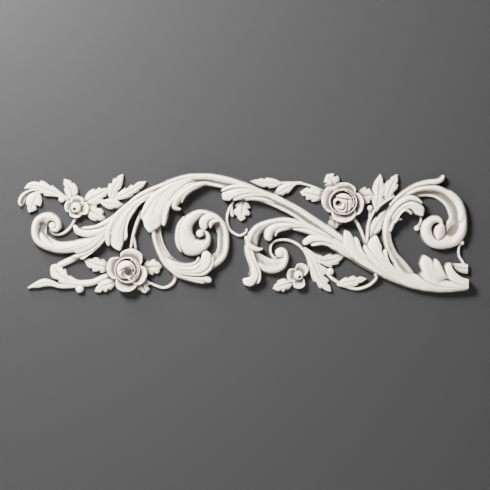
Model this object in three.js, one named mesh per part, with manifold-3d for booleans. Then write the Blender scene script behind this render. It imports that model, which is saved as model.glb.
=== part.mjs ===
// A carved scroll moulding: one flat-backed casting that is fixed to a wall.
//
// Millimetres, +Z up, +X along the moulding, front towards -Y. The flat back lies on the plane Y = 0
// and the origin is on it, at the middle of the length, behind the main stem.
//
// The layout is drawn in the pixels of a 490 x 490 front view (u to the right, v down) and brought to
// its real size by LENGTH. Every stroke is a list of [u, v, half width, share of its relief].

import * as THREE from 'three';
import { mergeVertices } from 'three/addons/utils/BufferGeometryUtils.js';
import Module from 'manifold-3d';

// Driving sizes, in millimetres
const LENGTH = 800;
const CARVING_RELIEF = 20;
const SCROLL_RELIEF = 17;
const ROSE_RELIEF = 32;
const FLOWER_RELIEF = 19;
const LEAF_RELIEF = 9;
const TENDRIL_RELIEF = 7;
const BERRY_RELIEF = 11;

// Ends of the casting and its origin in the front view
const LEFT_END = 17;
const SQUARE_END = 468;
const ORIGIN = { u: 242.5, v: 188 };
const MM_PER_PIXEL = LENGTH / (SQUARE_END - LEFT_END);

// How far strokes run behind the back plane before they are cut flush
const OVERRUN = 4;

// Steps for each ring of a scroll
const SCROLL_SPANS = 1.5;

// Cross sections: heights from the left side of a stroke to its right side, as shares of the crest
const ROUND = [0.55, 1, 0.55];
const LOBE = [0.8, 1, 0.8];
const LEAF = [0.7, 1, 0.7];
const RIM_ON_LEFT = [0.62, 1, 0.58, 0.64];
const RIM_ON_RIGHT = [...RIM_ON_LEFT].reverse();
const FLUTED = [0.6, 1, 0.84, 1, 0.6];
const PETAL = [0.85, 1, 0.85];

// A petal from base to rim: [place, share of the half width, share of the relief]
const PETAL_STATIONS = [[0, 0.6, 0.5], [0.45, 0.96, 0.62], [0.8, 0.9, 0.66], [1, 0.5, 0.56]];
const SMALL_PETAL_RISE = 1.15;

// Main stem from the right base, up the diagonal and over the arch to the acanthus leaf
const MAIN_STEM = [
  [352, 251, 7.2, 0.98], [334, 237.5, 7, 0.97], [314, 223.5, 6.4, 0.96], [295, 211, 6.3, 0.95],
  [275, 201.5, 6.3, 0.95], [257, 194.3, 6.4, 0.95], [240, 187.2, 6.5, 0.95], [222, 182.5, 6.6, 0.95],
  [205, 180, 6.5, 0.95], [188, 181.6, 6.8, 0.92], [170, 187.5, 7.5, 0.88], [155, 196, 8, 0.84],
  [143, 205, 8, 0.8],
];

// Acanthus leaf at the left end of the arch
const ACANTHUS_LOBES = {
  topEdge: [
    [176, 180.6, 3, 1], [160, 186.8, 3.2, 1], [147, 193, 3.4, 0.98], [135, 200, 3.5, 0.96],
    [122, 209.3, 3.6, 0.92], [109, 220, 3.6, 0.86], [96, 226.7, 3.2, 0.78], [82.8, 227.4, 1, 0.6],
  ],
  hook: [
    [120, 216, 3, 0.9], [108, 226, 3.4, 0.86], [97, 231.2, 3.4, 0.82], [87, 233.2, 2.8, 0.78],
    [79.5, 232.4, 2.4, 0.72], [75.8, 229.5, 2, 0.66], [75.2, 226.2, 1.1, 0.6],
  ],
  longTip: [
    [150, 196, 4, 0.96], [135, 206, 4.5, 0.95], [120, 219, 5.2, 0.93], [107, 232, 5.6, 0.9],
    [95, 242, 5, 0.84], [84, 247.8, 3.6, 0.76], [74, 250.7, 1.2, 0.62],
  ],
  sheath: [
    [118, 222, 3, 0.84], [107, 234.5, 3.6, 0.82], [98, 246, 3.2, 0.78], [90, 254.4, 2.5, 0.7],
    [83.6, 259.8, 1, 0.6],
  ],
  sheathLower: [
    [100, 240, 3.2, 0.76], [90, 248.3, 3.2, 0.72], [80, 254.2, 2.6, 0.66], [71.6, 257.4, 1, 0.58],
  ],
  middleLeft: [
    [126, 212, 3.2, 0.95], [116, 226, 4.2, 0.95], [110, 237.5, 3.8, 0.9], [107.7, 244.8, 1.2, 0.75],
  ],
  middle: [
    [143, 197, 3.6, 1], [133, 208, 4.4, 1.02], [125, 221, 5, 1.02], [120, 234, 5.6, 1],
    [117.8, 244, 4.6, 0.92], [118, 250.2, 1.8, 0.75],
  ],
  middleRight: [
    [140, 201, 3, 0.95], [132.5, 211, 3.8, 0.96], [127.5, 222, 3.8, 0.94], [126, 231, 2.8, 0.88],
    [127.4, 236.3, 1, 0.75],
  ],
};

// Broad leaf that drops from the arch in front of everything near it
const DROP_LOBES = {
  left: [[170, 187, 4, 1.04], [155, 195, 4.6, 1.08], [147, 205, 4.6, 1.06], [142, 216.6, 1.4, 0.8]],
  middle: [
    [186, 182.5, 4.4, 1.02], [170, 188.5, 6.4, 1.1], [158, 200, 7.8, 1.16], [152, 213, 8, 1.14],
    [149.6, 225, 5.2, 1], [150, 231.7, 1.6, 0.85],
  ],
  right: [
    [186, 185.5, 3.4, 1], [173, 193, 4.4, 1.08], [165.5, 204, 5, 1.1], [163.8, 215.5, 4.8, 1.02],
    [164.7, 224.3, 1.4, 0.84],
  ],
  curl: [
    [213, 181.6, 2.6, 1.04], [197, 185.3, 3.4, 1.08], [184, 192.3, 4.6, 1.12], [175.8, 201, 4.9, 1.1],
    [175, 207.3, 3.6, 1], [180, 209, 1.2, 0.85],
  ],
  curlTip: [[198, 186.5, 2, 1], [187, 193, 2.6, 1.02], [181.8, 202.4, 0.9, 0.85]],
};

// Leaves that clasp the arch from its right side, over the main stem
const CLASP_LOBES = {
  upper: [[257, 192, 3.4, 1.06], [242, 188, 3.4, 1.12], [230, 187, 2.6, 1.08], [221.8, 190.4, 0.9, 0.9]],
  middle: [[262, 196, 3.8, 1.04], [245, 192.6, 4.2, 1.14], [232, 193.6, 4.2, 1.12], [223, 196.5, 2.8, 0.95]],
  lower: [[264, 198.5, 3, 1.02], [250, 195.8, 3.2, 1.06], [241, 197.2, 2.4, 1], [234.7, 199.8, 0.9, 0.85]],
  under: [[277, 204, 2.6, 0.96], [264, 200, 2.8, 1], [253, 198.6, 2.5, 0.98], [244.2, 199, 1.4, 0.85]],
};

// A volute turns around centre (u, v) from one angle, clockwise in the front view where turn is
// positive. Its rings are [radius, half width, share], evenly spaced over the turn.
const LEFT_SCROLL = {
  lead: [[108, 232, 5.5, 0.9], [95, 240.5, 6.2, 0.95], [82, 244.5, 6.3, 1], [69, 247, 5.9, 1]],
  centre: [53.5, 226.5],
  from: 85,
  turn: 424,
  rings: [
    [20.4, 6.3, 1], [17.5, 7.5, 1], [14.4, 7.9, 1], [11, 5, 1], [6.7, 3.5, 1], [4.9, 3.3, 0.98],
    [4.2, 2.6, 0.96], [3.6, 1.9, 0.94], [3.3, 1.3, 0.9],
  ],
};
const CENTRE_SCROLL = {
  lead: [
    [153.5, 218, 5, 1], [155.3, 229, 5.2, 1.02], [156.8, 240, 5, 1.02], [160.4, 251, 5.3, 1.02],
    [167, 261, 5.6, 1], [176.5, 267.5, 5.5, 1], [188, 269.5, 6.3, 1],
  ],
  centre: [200, 236],
  from: 90,
  turn: -540,
  rings: [
    [31.2, 7.4, 1], [28, 5.4, 1], [23.3, 5.7, 1], [23, 4.8, 1], [22.3, 4, 1], [18.4, 7, 1],
    [15.8, 9.6, 0.98], [15.2, 9, 0.94], [11, 6.2, 0.94], [8.5, 4.5, 0.94], [7.3, 3.3, 0.94],
    [6, 2.4, 0.92], [5.6, 1.4, 0.9],
  ],
};
const RETURN_SCROLL = {
  lead: [
    [350, 252, 6, 1.06], [333, 241.5, 5.8, 1.05], [318, 232.5, 5.2, 1.02], [305, 226.5, 5, 1],
    [292, 223, 4.8, 1],
  ],
  centre: [279, 252.5],
  from: 270,
  turn: -360,
  rings: [
    [30.5, 4.5, 1], [31.5, 5, 1], [27.8, 7, 1], [18, 7.4, 1], [12.2, 6.6, 1], [8.3, 3.9, 1],
    [6.2, 2.8, 0.98], [4.6, 2, 0.96], [3.8, 1.4, 0.94],
  ],
};
const RIGHT_SCROLL = {
  lead: [
    [404, 268, 6, 1.06], [394, 256, 5.6, 1.06], [388.3, 243, 5.2, 1.04], [387.6, 231, 5, 1.03],
    [390, 219, 5.6, 1.03], [395.5, 208.5, 5.8, 1.03], [404, 199.5, 6, 1.02], [415, 193, 5.4, 1],
    [426, 190.8, 5.2, 1],
  ],
  centre: [438, 227],
  from: 270,
  turn: 450,
  rings: [
    [34.9, 6, 1], [26.2, 9.1, 1], [21.3, 8.7, 1], [19.6, 7, 1], [17.8, 5, 1], [14, 6, 0.98],
    [11.3, 5.5, 0.96], [9.3, 4.6, 0.94], [7.5, 3.7, 0.94], [5, 2, 0.92], [4, 1.4, 0.9],
  ],
};

// Leaf lobes that grow on the scrolls
const SCROLL_LOBES = {
  leftShoot: [[60, 249, 3, 0.95], [50, 246, 3.4, 1], [44, 240.5, 3.4, 0.98], [42.5, 234.5, 1.3, 0.8]],
  centreLower: [
    [158, 251, 2.6, 1], [164, 262.5, 3, 1.02], [172, 270.3, 3.4, 1.02], [182, 275.3, 3.7, 1.02],
    [192, 277.8, 3.8, 1], [201, 278.8, 3.9, 0.96], [210.3, 281.2, 2.2, 0.82],
  ],
  centreLowerTip: [[188, 277.5, 2.6, 0.94], [197, 280, 2.5, 0.92], [203.8, 283, 0.8, 0.8]],
  centreRiseLeft: [[178, 269.5, 3, 1.02], [189, 267, 3, 1.06], [195.6, 262.3, 2.6, 1.02], [198.2, 257.4, 0.8, 0.84]],
  centreRise: [[184, 272, 3.2, 1.04], [197, 268.8, 4.4, 1.1], [203.6, 260.5, 4.6, 1.1], [206.2, 251.8, 1.9, 0.9]],
  centreRiseRight: [[196, 273, 3, 1], [208, 267.3, 3, 1.06], [212.9, 257.6, 0.9, 0.84]],
  centreFold: [[221, 222, 3, 0.9], [213, 216.5, 3.6, 1.06], [205.5, 219, 4.4, 1.1], [203.2, 224.5, 3.6, 1.06], [204.6, 229.3, 1.8, 0.95]],
  centreFoldTip: [[222, 224, 2, 0.86], [214.5, 220, 2.6, 0.98], [210.3, 227.8, 0.9, 0.84]],
  returnHook: [
    [304, 227, 2.8, 1.04], [289, 225.2, 3.2, 1.08], [278, 226, 4, 1.1], [271.2, 229.6, 4.4, 1.1],
    [268.6, 235.4, 4.6, 1.04], [269.8, 241, 2, 0.9],
  ],
  returnHookTip: [[292, 227.5, 2, 0.98], [283, 228.5, 2.4, 1], [277, 231.3, 2, 0.98], [275.4, 236.3, 0.7, 0.84]],
  returnUnder: [
    [350, 252, 3.4, 1.06], [333, 245, 4.2, 1.06], [319, 239.7, 4.6, 1.04], [310, 239, 4, 1],
    [303.8, 243.4, 1.1, 0.84],
  ],
  returnUnderTip: [[338, 249.8, 2.4, 0.98], [323, 243, 2.4, 0.96], [313, 244.7, 0.9, 0.84]],
  returnUpper: [[332, 241.5, 2.4, 1.04], [317, 235, 3.2, 1.03], [304, 231.4, 2.6, 1], [293, 229.6, 0.8, 0.84]],
  returnInner: [[246.8, 238, 2.6, 0.98], [249, 245, 3.2, 1.04], [254.6, 248.7, 2.7, 1.02], [262.4, 248.8, 1, 0.84]],
  returnFoot: [
    [247.5, 252, 3, 1], [251, 262, 3.8, 1.02], [254, 271, 5, 1.04], [252.4, 279, 5.4, 1], [245.4, 281.8, 2.4, 0.84],
  ],
  returnFootHeel: [[257, 266, 3, 1], [258.6, 274, 3, 1], [257.2, 281.2, 1.8, 0.84]],
  rightInner: [[443, 226, 2.4, 0.9], [442.3, 231, 3.4, 1.06], [440, 236.8, 4, 1.06], [437.2, 241, 2, 0.9]],
  rightFinger: [[450, 200, 2.4, 1], [455.2, 210, 3, 1.02], [459, 220.3, 1.2, 0.86]],
  rightClaspUpper: [[392, 214, 3.4, 1.08], [399, 204.5, 4.4, 1.16], [409, 199.8, 4.2, 1.14], [421.6, 202, 1, 0.9]],
  rightClasp: [[389, 224, 3, 1.06], [396, 212, 4.4, 1.2], [406, 205.8, 5, 1.24], [415.5, 207.3, 4.8, 1.16], [422, 213.4, 2, 0.94]],
  rightClaspLower: [[391, 224, 2.8, 1.06], [397.5, 214, 3, 1.14], [405, 209, 2.8, 1.1], [411, 213.8, 0.9, 0.9]],
  rightSpur: [[392, 226, 2.6, 1.04], [396, 219, 2.4, 1], [401.7, 219.3, 0.9, 0.84]],
};

// Eyes of the scrolls: [u, v, radius, share]
const SCROLL_EYES = [
  [51.8, 226.2, 3.6, 1.04],
  [200.3, 233.8, 3.8, 1.04],
  [280, 252.5, 4.6, 1.08],
  [440, 228, 3, 1],
];

// Crest strip on top of the right scroll
const CREST_STRIP = [
  [393, 202, 1.6, 0.8], [405, 191.6, 2.2, 0.84], [416, 185.4, 2.6, 0.86], [427, 182.2, 3, 0.86],
  [436.5, 181.4, 3, 0.86], [441.8, 179, 2.6, 0.8], [442.8, 174.2, 1.1, 0.7],
];

// Fluted body that runs out of the square end
const BASE_BODY = [
  [333, 243, 7, 0.94], [350, 251, 9, 0.96], [365, 259.5, 10, 0.98], [380, 266, 10.8, 1],
  [395, 271.7, 11.2, 1], [410, 278, 9.8, 1], [425, 282.8, 8.2, 1], [440, 286, 6.8, 1],
  [455, 286, 5.8, 1], [474, 284, 5.4, 1],
];
const BASE_LOBES = {
  firstMain: [[376, 270, 3.6, 1], [363, 261, 4.8, 1.06], [353, 250, 5, 1.14], [348, 240.5, 4.4, 1.16], [345.6, 231.6, 1.5, 0.95]],
  firstRight: [[378, 269, 3, 1], [367.5, 260, 3.4, 1.04], [360.5, 249, 3.4, 1.06], [356.3, 239.6, 1.2, 0.9]],
  secondLeft: [[386, 269, 3, 1], [375, 260, 3.4, 1.06], [368.5, 252, 3, 1.06], [363.8, 246.9, 1, 0.9]],
  secondMain: [[392, 271, 3.6, 1], [382, 260, 5, 1.1], [376, 249.5, 6, 1.2], [374.6, 241, 4.2, 1.14], [376.3, 236.6, 1.2, 0.95]],
  secondRight: [[395, 272, 3, 1], [388.5, 263.5, 2.6, 1.04], [385.4, 256, 2.6, 1.04], [385.6, 250.8, 1, 0.9]],
  thirdTip: [[406, 276, 3.6, 1], [398, 268.5, 3.4, 1.06], [394, 259.6, 1.2, 0.9]],
  fourthMain: [[446, 286, 3.6, 1], [434, 279, 5.2, 1.12], [428, 270.5, 6.2, 1.2], [425.8, 262, 5.8, 1.18], [423.6, 256.2, 2, 0.95]],
  fourthRight: [[454, 286, 3, 1], [445, 277.5, 4, 1.1], [439.5, 268.6, 4, 1.12], [435.8, 260.3, 1.1, 0.9]],
  fifthTip: [[474, 283.5, 4, 1], [460, 279.5, 4.4, 1.08], [451.5, 272, 4.4, 1.1], [447.6, 264.6, 2, 0.92]],
  cutLeaf: [[451.5, 266, 2.2, 0.9], [456.5, 267.4, 4.2, 0.94], [464, 269.5, 4.6, 0.96], [474, 270, 4.6, 0.96]],
};

// Serrated leaves of the flower sprays: [base, bend, tip] in the front view, widest half width, teeth
const SERRATED_LEAVES = {
  farLeft: { spine: [[38, 191.5], [33.5, 201], [28.6, 212.8]], half: 7.4, teeth: 3 },
  topLeft: { spine: [[73, 203], [71, 190], [64.4, 178.8]], half: 7, teeth: 2 },
  besideFlower: { spine: [[82, 204], [95, 196.5], [108.2, 188.8]], half: 7.2, teeth: 3 },
  upright: { spine: [[110.5, 200], [114, 187], [123, 173.6]], half: 6, teeth: 3 },
  upperRight: { spine: [[112, 200], [129, 191.5], [146.3, 181.3]], half: 5.8, teeth: 4 },
  smallRight: { spine: [[99, 202], [111, 204], [123.7, 205]], half: 5, teeth: 2 },
  belowFlower: { spine: [[84, 206], [95, 213], [105.3, 219.4]], half: 7.4, teeth: 3 },
  wrap: { spine: [[86, 284], [67, 279], [52, 264.6]], half: 8, teeth: 3 },
  roseLeft: { spine: [[111, 268], [98, 265], [83, 259.5]], half: 7.4, teeth: 3 },
  roseLowerLeft: { spine: [[117, 281], [106, 285.3], [94.6, 291.8]], half: 6, teeth: 3 },
  roseLowerRight: { spine: [[136, 279], [143, 286.5], [145.2, 293.3]], half: 6, teeth: 2 },
  roseRight: { spine: [[140, 267], [153, 267], [162, 266]], half: 7.8, teeth: 3 },
  hanging: { spine: [[244, 197], [242.3, 210], [240.9, 221.5]], half: 8.2, teeth: 3 },
  spurLeft: { spine: [[281, 183], [268, 183], [250.5, 181.2]], half: 5.2, teeth: 3 },
  spurLower: { spine: [[300, 183], [288, 188], [274, 194.3]], half: 5.2, teeth: 3 },
  roseTopLeft: { spine: [[326, 197], [312, 194.5], [299.6, 192.2]], half: 7.4, teeth: 3 },
  roseTop: { spine: [[336, 190], [331.5, 181], [327.2, 173.7]], half: 7.4, teeth: 2 },
  roseBelow: { spine: [[340, 214], [335, 222], [335.6, 228.5]], half: 6.8, teeth: 2 },
  roseSide: { spine: [[355, 197], [366, 195.5], [373.5, 195]], half: 8, teeth: 2 },
  tall: { spine: [[377, 211], [379, 193], [380.9, 173.6]], half: 6.2, teeth: 3 },
  tallRight: { spine: [[386, 200], [391.5, 187], [397.8, 174]], half: 6.6, teeth: 3 },
  betweenStems: { spine: [[370, 239], [377, 225], [386.3, 210.4]], half: 6, teeth: 3 },
  underSmallFlower: { spine: [[295, 281.5], [283, 285], [273, 288.7]], half: 6, teeth: 3 },
  crossing: { spine: [[304, 248], [322, 260], [346, 253.5]], half: 6, teeth: 4 },
  downward: { spine: [[311, 255], [317, 272], [331.2, 291.4]], half: 7.2, teeth: 4 },
  onTendril: { spine: [[337, 285], [350, 281.7], [366.5, 278.8]], half: 5.4, teeth: 3 },
};

// Leaves of the far left spray that have no regular teeth
const LOOSE_LEAVES = {
  curl: [[37, 190, 1.2, 0.9], [29, 192, 2.2, 1], [23, 196.5, 3.2, 1], [20.7, 202, 3.4, 0.95], [21.6, 206.2, 1.6, 0.8]],
  big: [
    [71, 201, 1.8, 0.9], [60, 194.5, 3.2, 1], [51, 191.2, 6.6, 1.1], [42.5, 188, 6.4, 1.1],
    [34, 185.6, 3.4, 1], [24.5, 188.5, 0.8, 0.8],
  ],
  shoot: [
    [78, 285.5, 2, 0.9], [60, 286, 2.6, 1], [50, 283, 3.6, 1], [44, 282.3, 3.6, 1], [37, 284.6, 2.6, 0.95],
    [27.6, 287.8, 0.8, 0.8],
  ],
};

// Round stems and tendrils
const TENDRILS = {
  smallFlowerStem: [[76, 214, 1.8, 1], [71, 225, 1.8, 1], [63, 232.4, 1.8, 1], [54, 233.6, 1.5, 1], [48.5, 229, 1.2, 1]],
  sprayStem: [[70, 203, 1.6, 1], [85, 204, 1.6, 1], [100, 202, 1.6, 1], [114, 199.5, 1.4, 1]],
  roseStem: [[142, 211, 2.4, 1.3], [136.5, 224, 2.2, 1.3], [132.6, 238, 1.9, 1.3], [130, 254, 1.6, 1.5]],
  roseStemFork: [[133.4, 235, 1.6, 1.2], [135, 244, 1.5, 1.2], [136.6, 254, 1.5, 1.4]],
  roseTendril: [
    [138, 275, 1.6, 1.5], [150, 283, 1.5, 1.2], [163, 287.8, 1.6, 1], [172, 284, 1.9, 1],
    [175.3, 277.6, 1.9, 1], [173, 274.8, 1.8, 1],
  ],
  lowerBranch: [[70, 282.6, 3.4, 1.3], [82, 283.5, 3.6, 1.3], [93, 282.2, 3.5, 1.3], [103, 277.5, 3.2, 1.3], [114, 273, 2.8, 1.4]],
  upperBranch: [[93, 247, 3.4, 1.4], [83, 253, 3.5, 1.4], [71, 260.3, 3.6, 1.3], [56, 267, 3.4, 1.2]],
  archTendril: [
    [235, 198, 1.8, 1.4], [229.3, 209, 1.6, 1.2], [227, 219, 1.6, 1], [230.2, 230, 1.6, 1],
    [239, 235.5, 1.6, 1], [245.8, 232.5, 1.6, 1], [246.8, 228.4, 1.4, 1],
  ],
  archBud: [[233, 199, 1, 1], [231.8, 208, 1.6, 1], [231.7, 215.5, 2.3, 1]],
  scrollTendril: [
    [281, 256, 1.8, 1.4], [274.5, 257.6, 1.7, 1.2], [270.6, 251.5, 1.6, 1.1], [272.3, 243.5, 1.5, 1],
    [279, 240, 1.5, 1], [289, 240.5, 1.6, 1], [299, 245.3, 1.8, 1], [306.5, 254.5, 1.8, 1.1],
    [309.3, 267, 1.8, 1.1], [305, 275, 1.8, 1.2],
  ],
  spurStem: [[277, 183, 1.4, 1], [293, 182.6, 1.4, 1], [309, 185.2, 1.4, 1], [327, 192.5, 1.6, 1.2]],
  clusterStem: [
    [395, 196, 1.6, 1.2], [384, 202.5, 1.8, 1.2], [374.5, 211, 1.9, 1.2], [369, 223, 2, 1.3],
    [367.6, 236, 2, 1.5], [366.5, 249, 2, 1.8],
  ],
  roseUnderStem: [[350, 213, 2, 1.4], [358.5, 225, 2, 1.3], [363.5, 237, 2, 1.4], [367, 247, 2, 1.6]],
  calyxStalk: [[370.2, 207, 1.2, 1], [369.4, 219, 1.2, 1]],
  berryTendril: [
    [321, 267, 1.8, 1.2], [333, 279, 2, 1.1], [345, 286, 1.8, 1], [357, 289, 1.8, 1], [369, 285.4, 1.8, 1],
    [377, 278.8, 1.8, 1], [376, 273.5, 1.6, 1],
  ],
  berryStalk: [[319, 265, 1.4, 1.2], [331, 272, 1.4, 1.1]],
  scrollStalk: [[421, 212, 1.5, 1.4], [420.8, 222, 1.4, 1.2], [416.3, 228.4, 1.5, 1]],
  endTendril: [
    [463, 240, 1.8, 1.3], [458.7, 247, 1.6, 1.1], [458.7, 255.5, 1.6, 1], [462.5, 262, 1.6, 1], [467, 268, 1.6, 1.2],
  ],
  leafLink: [[61.5, 199.5, 1.4, 1], [70, 200.5, 1.4, 1]],
  lowerBerryStalk: [[79.5, 282, 1.4, 1], [79.5, 290, 1.4, 1]],
};

// Berries and buds: [u, v, radius, share]
const BERRIES = [
  [61.5, 199.5, 3.1, 1], [79.5, 289, 4.3, 1], [330.5, 271.5, 3.6, 1], [370, 208, 3, 0.95],
  [416.5, 228, 2.9, 0.95], [462.3, 242.8, 2.2, 1],
];

// Small flowers with a turned cup; a petal runs from under the cup to its rim
const SMALL_FLOWERS = [
  {
    centre: [76, 207],
    cup: 5.4,
    petals: [
      { base: [76, 206], rim: [77.4, 195.8], half: 6.3 },
      { base: [75, 207], rim: [64.4, 206], half: 5.6 },
      { base: [76, 208], rim: [74.6, 218.4], half: 6 },
      { base: [77, 208], rim: [88.8, 209.6], half: 6 },
    ],
  },
  {
    centre: [298.5, 275.5],
    cup: 4.8,
    petals: [
      { base: [298, 275], rim: [304.6, 264.2], half: 6.8 },
      { base: [298, 275], rim: [286.6, 275], half: 7 },
      { base: [298, 276], rim: [299.6, 288.4], half: 5.8 },
    ],
  },
];

// Full roses, drawn the same way, with a ring cup of outer and inner radius round a bud
const ROSES = [
  {
    centre: [127, 269.5],
    cup: [13, 10.4],
    bud: 9.4,
    petals: [
      { base: [128, 266], rim: [132, 248.4], half: 12 },
      { base: [122, 268], rim: [106.6, 267], half: 11 },
      { base: [130, 271], rim: [147.2, 278], half: 10.6 },
      { base: [126, 274], rim: [125.4, 292.6], half: 10.6 },
    ],
  },
  {
    centre: [342, 201.5],
    cup: [13, 10.6],
    bud: 9.8,
    petals: [
      { base: [338, 200], rim: [321.6, 199], half: 12.4 },
      { base: [343, 196], rim: [346.4, 181.4], half: 11.6 },
      { base: [348, 203], rim: [364, 205], half: 11.6 },
      { base: [343, 208], rim: [344, 223], half: 12 },
    ],
  },
];

const wasm = await Module();
wasm.setup();

/** Real position of a point of the front view that stands `relief` millimetres off the wall. */
function place(u, v, relief) {
  return new THREE.Vector3((u - ORIGIN.u) * MM_PER_PIXEL, -relief, (ORIGIN.v - v) * MM_PER_PIXEL);
}

/** Welds a closed geometry so that neighbouring faces share their vertices. */
function weld(geometry) {
  geometry.deleteAttribute('normal');
  geometry.deleteAttribute('uv');
  return mergeVertices(geometry);
}

/** Turns a closed, welded geometry into a solid that can be joined and cut. */
function toSolid(geometry) {
  const mesh = new wasm.Mesh({
    numProp: 3,
    vertProperties: Float32Array.from(geometry.attributes.position.array),
    triVerts: Uint32Array.from(geometry.index.array),
  });
  return new wasm.Manifold(mesh);
}

/** Height share of a cross section at `side`, from -1 on the left to 1 on the right. */
function sectionHeight(section, side) {
  const place01 = ((side + 1) / 2) * (section.length - 1);
  const index = Math.min(Math.floor(place01), section.length - 2);
  return THREE.MathUtils.lerp(section[index], section[index + 1], place01 - index);
}

/** A carved band that follows `path` and stands on the wall, in `spans` steps for each point. */
function stroke(path, section, relief, spans = 1) {
  const spine = new THREE.CatmullRomCurve3(path.map(([u, v]) => new THREE.Vector3(u, v, 0)));
  const sizes = new THREE.CatmullRomCurve3(path.map(([, , half, share]) => new THREE.Vector3(half, share, 0)));
  const geometry = weld(new THREE.BoxGeometry(2, 1, 1, section.length - 1, Math.round((path.length - 1) * spans), 1));
  const position = geometry.attributes.position;
  for (let i = 0; i < position.count; i += 1) {
    const side = position.getX(i);
    const t = THREE.MathUtils.clamp(position.getY(i) + 0.5, 0, 1);
    const centre = spine.getPoint(t);
    const tangent = spine.getTangent(t);
    const { x: half, y: share } = sizes.getPoint(t);
    const height = position.getZ(i) > 0 ? sectionHeight(section, side) * share * relief : -OVERRUN;
    const point = place(centre.x - tangent.y * side * half, centre.y + tangent.x * side * half, height);
    position.setXYZ(i, point.x, point.y, point.z);
  }
  return toSolid(geometry);
}

/** Path of a scroll: its lead, then a volute whose radius follows the rings round the centre. */
function scrollPath({ lead, centre: [u, v], from, turn, rings }) {
  const volute = rings.map(([radius, half, share], index) => {
    const angle = THREE.MathUtils.degToRad(from + (turn * index) / (rings.length - 1));
    return [u + radius * Math.cos(angle), v + radius * Math.sin(angle), half, share];
  });
  return [...lead, ...volute];
}

/** Path of a leaf with teeth along both edges, domed along its middle. */
function serratedLeaf({ spine, half, teeth }) {
  const curve = new THREE.CatmullRomCurve3(spine.map(([u, v]) => new THREE.Vector3(u, v, 0)));
  const notchDepth = 0.22;
  const stations = teeth * 2;
  const path = [];
  for (let index = 0; index <= stations; index += 1) {
    const t = index / stations;
    const centre = curve.getPoint(t);
    const body = Math.pow(Math.sin(Math.PI * Math.pow(t, 0.85)), 0.8) * 0.9 + 0.1;
    const tooth = index % 2 === 0 || index > stations - 2 ? 1 - notchDepth : 1;
    const dome = 0.72 + 0.28 * Math.sin(Math.PI * Math.min(t * 1.1, 1));
    path.push([centre.x, centre.y, half * body * tooth, dome]);
  }
  return path;
}

/** A ball seated on the wall whose top stands `relief` off it. */
function ball(u, v, radius, relief) {
  const size = radius * MM_PER_PIXEL;
  const geometry = weld(new THREE.SphereGeometry(1, 8, 5));
  geometry.scale(size, Math.min(size, relief), size);
  const { x, z } = place(u, v, 0);
  geometry.translate(x, Math.min(size, relief) - relief, z);
  return toSolid(geometry);
}

/** A post turned about an axis square to the wall; the profile is [radius, relief] from base to top. */
function turned(u, v, profile, segments) {
  const points = profile.map(([radius, relief]) => new THREE.Vector2(radius * MM_PER_PIXEL, relief));
  const geometry = weld(new THREE.LatheGeometry(points, segments));
  geometry.rotateX(Math.PI);
  const { x, z } = place(u, v, 0);
  geometry.translate(x, 0, z);
  return toSolid(geometry);
}

/** A round petal that widens from its base and is highest a little before its rim. */
function petal({ base, rim, half }, relief) {
  const path = PETAL_STATIONS.map(([t, width, share]) => [
    THREE.MathUtils.lerp(base[0], rim[0], t), THREE.MathUtils.lerp(base[1], rim[1], t), half * width, share,
  ]);
  return stroke(path, PETAL, relief);
}

/** A small flower: its petals and a turned cup with a pit. */
function smallFlower({ centre: [u, v], cup, petals: list }) {
  const top = FLOWER_RELIEF;
  const profile = [[0, -OVERRUN], [cup, -OVERRUN], [cup, top * 0.84], [cup * 0.7, top], [cup * 0.3, top * 0.86], [0, top * 0.8]];
  return [...list.map((one) => petal(one, top * SMALL_PETAL_RISE)), turned(u, v, profile, 8)];
}

/** A full rose: four open petals, a ring cup and a hollow bud. */
function rose({ centre: [u, v], cup: [outer, inner], bud, petals: list }) {
  const top = ROSE_RELIEF;
  const ring = [
    [0, -OVERRUN], [outer, -OVERRUN], [outer * 1.02, top * 0.7], [outer, top * 0.86], [inner * 1.06, top * 0.9],
    [inner, top * 0.7], [0, top * 0.6],
  ];
  const heart = [
    [0, -OVERRUN], [bud * 0.8, -OVERRUN], [bud, top * 0.76], [bud * 0.9, top * 0.96], [bud * 0.62, top],
    [bud * 0.4, top * 0.86], [0, top * 0.8],
  ];
  return [...list.map((one) => petal(one, top)), turned(u, v, ring, 14), turned(u, v, heart, 10)];
}

/** Every stroke of a named family, cut with one section and one relief. */
function family(strokes, section, relief) {
  return Object.values(strokes).map((path) => stroke(path, section, relief));
}

/** The block that leaves the back flat and the right end square. */
function envelope() {
  const height = LENGTH;
  const depth = ROSE_RELIEF * 2;
  const geometry = weld(new THREE.BoxGeometry(LENGTH * 2, depth, height));
  const { x: right } = place(SQUARE_END, ORIGIN.v, 0);
  geometry.translate(right - LENGTH, -depth / 2, 0);
  return toSolid(geometry);
}

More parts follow.
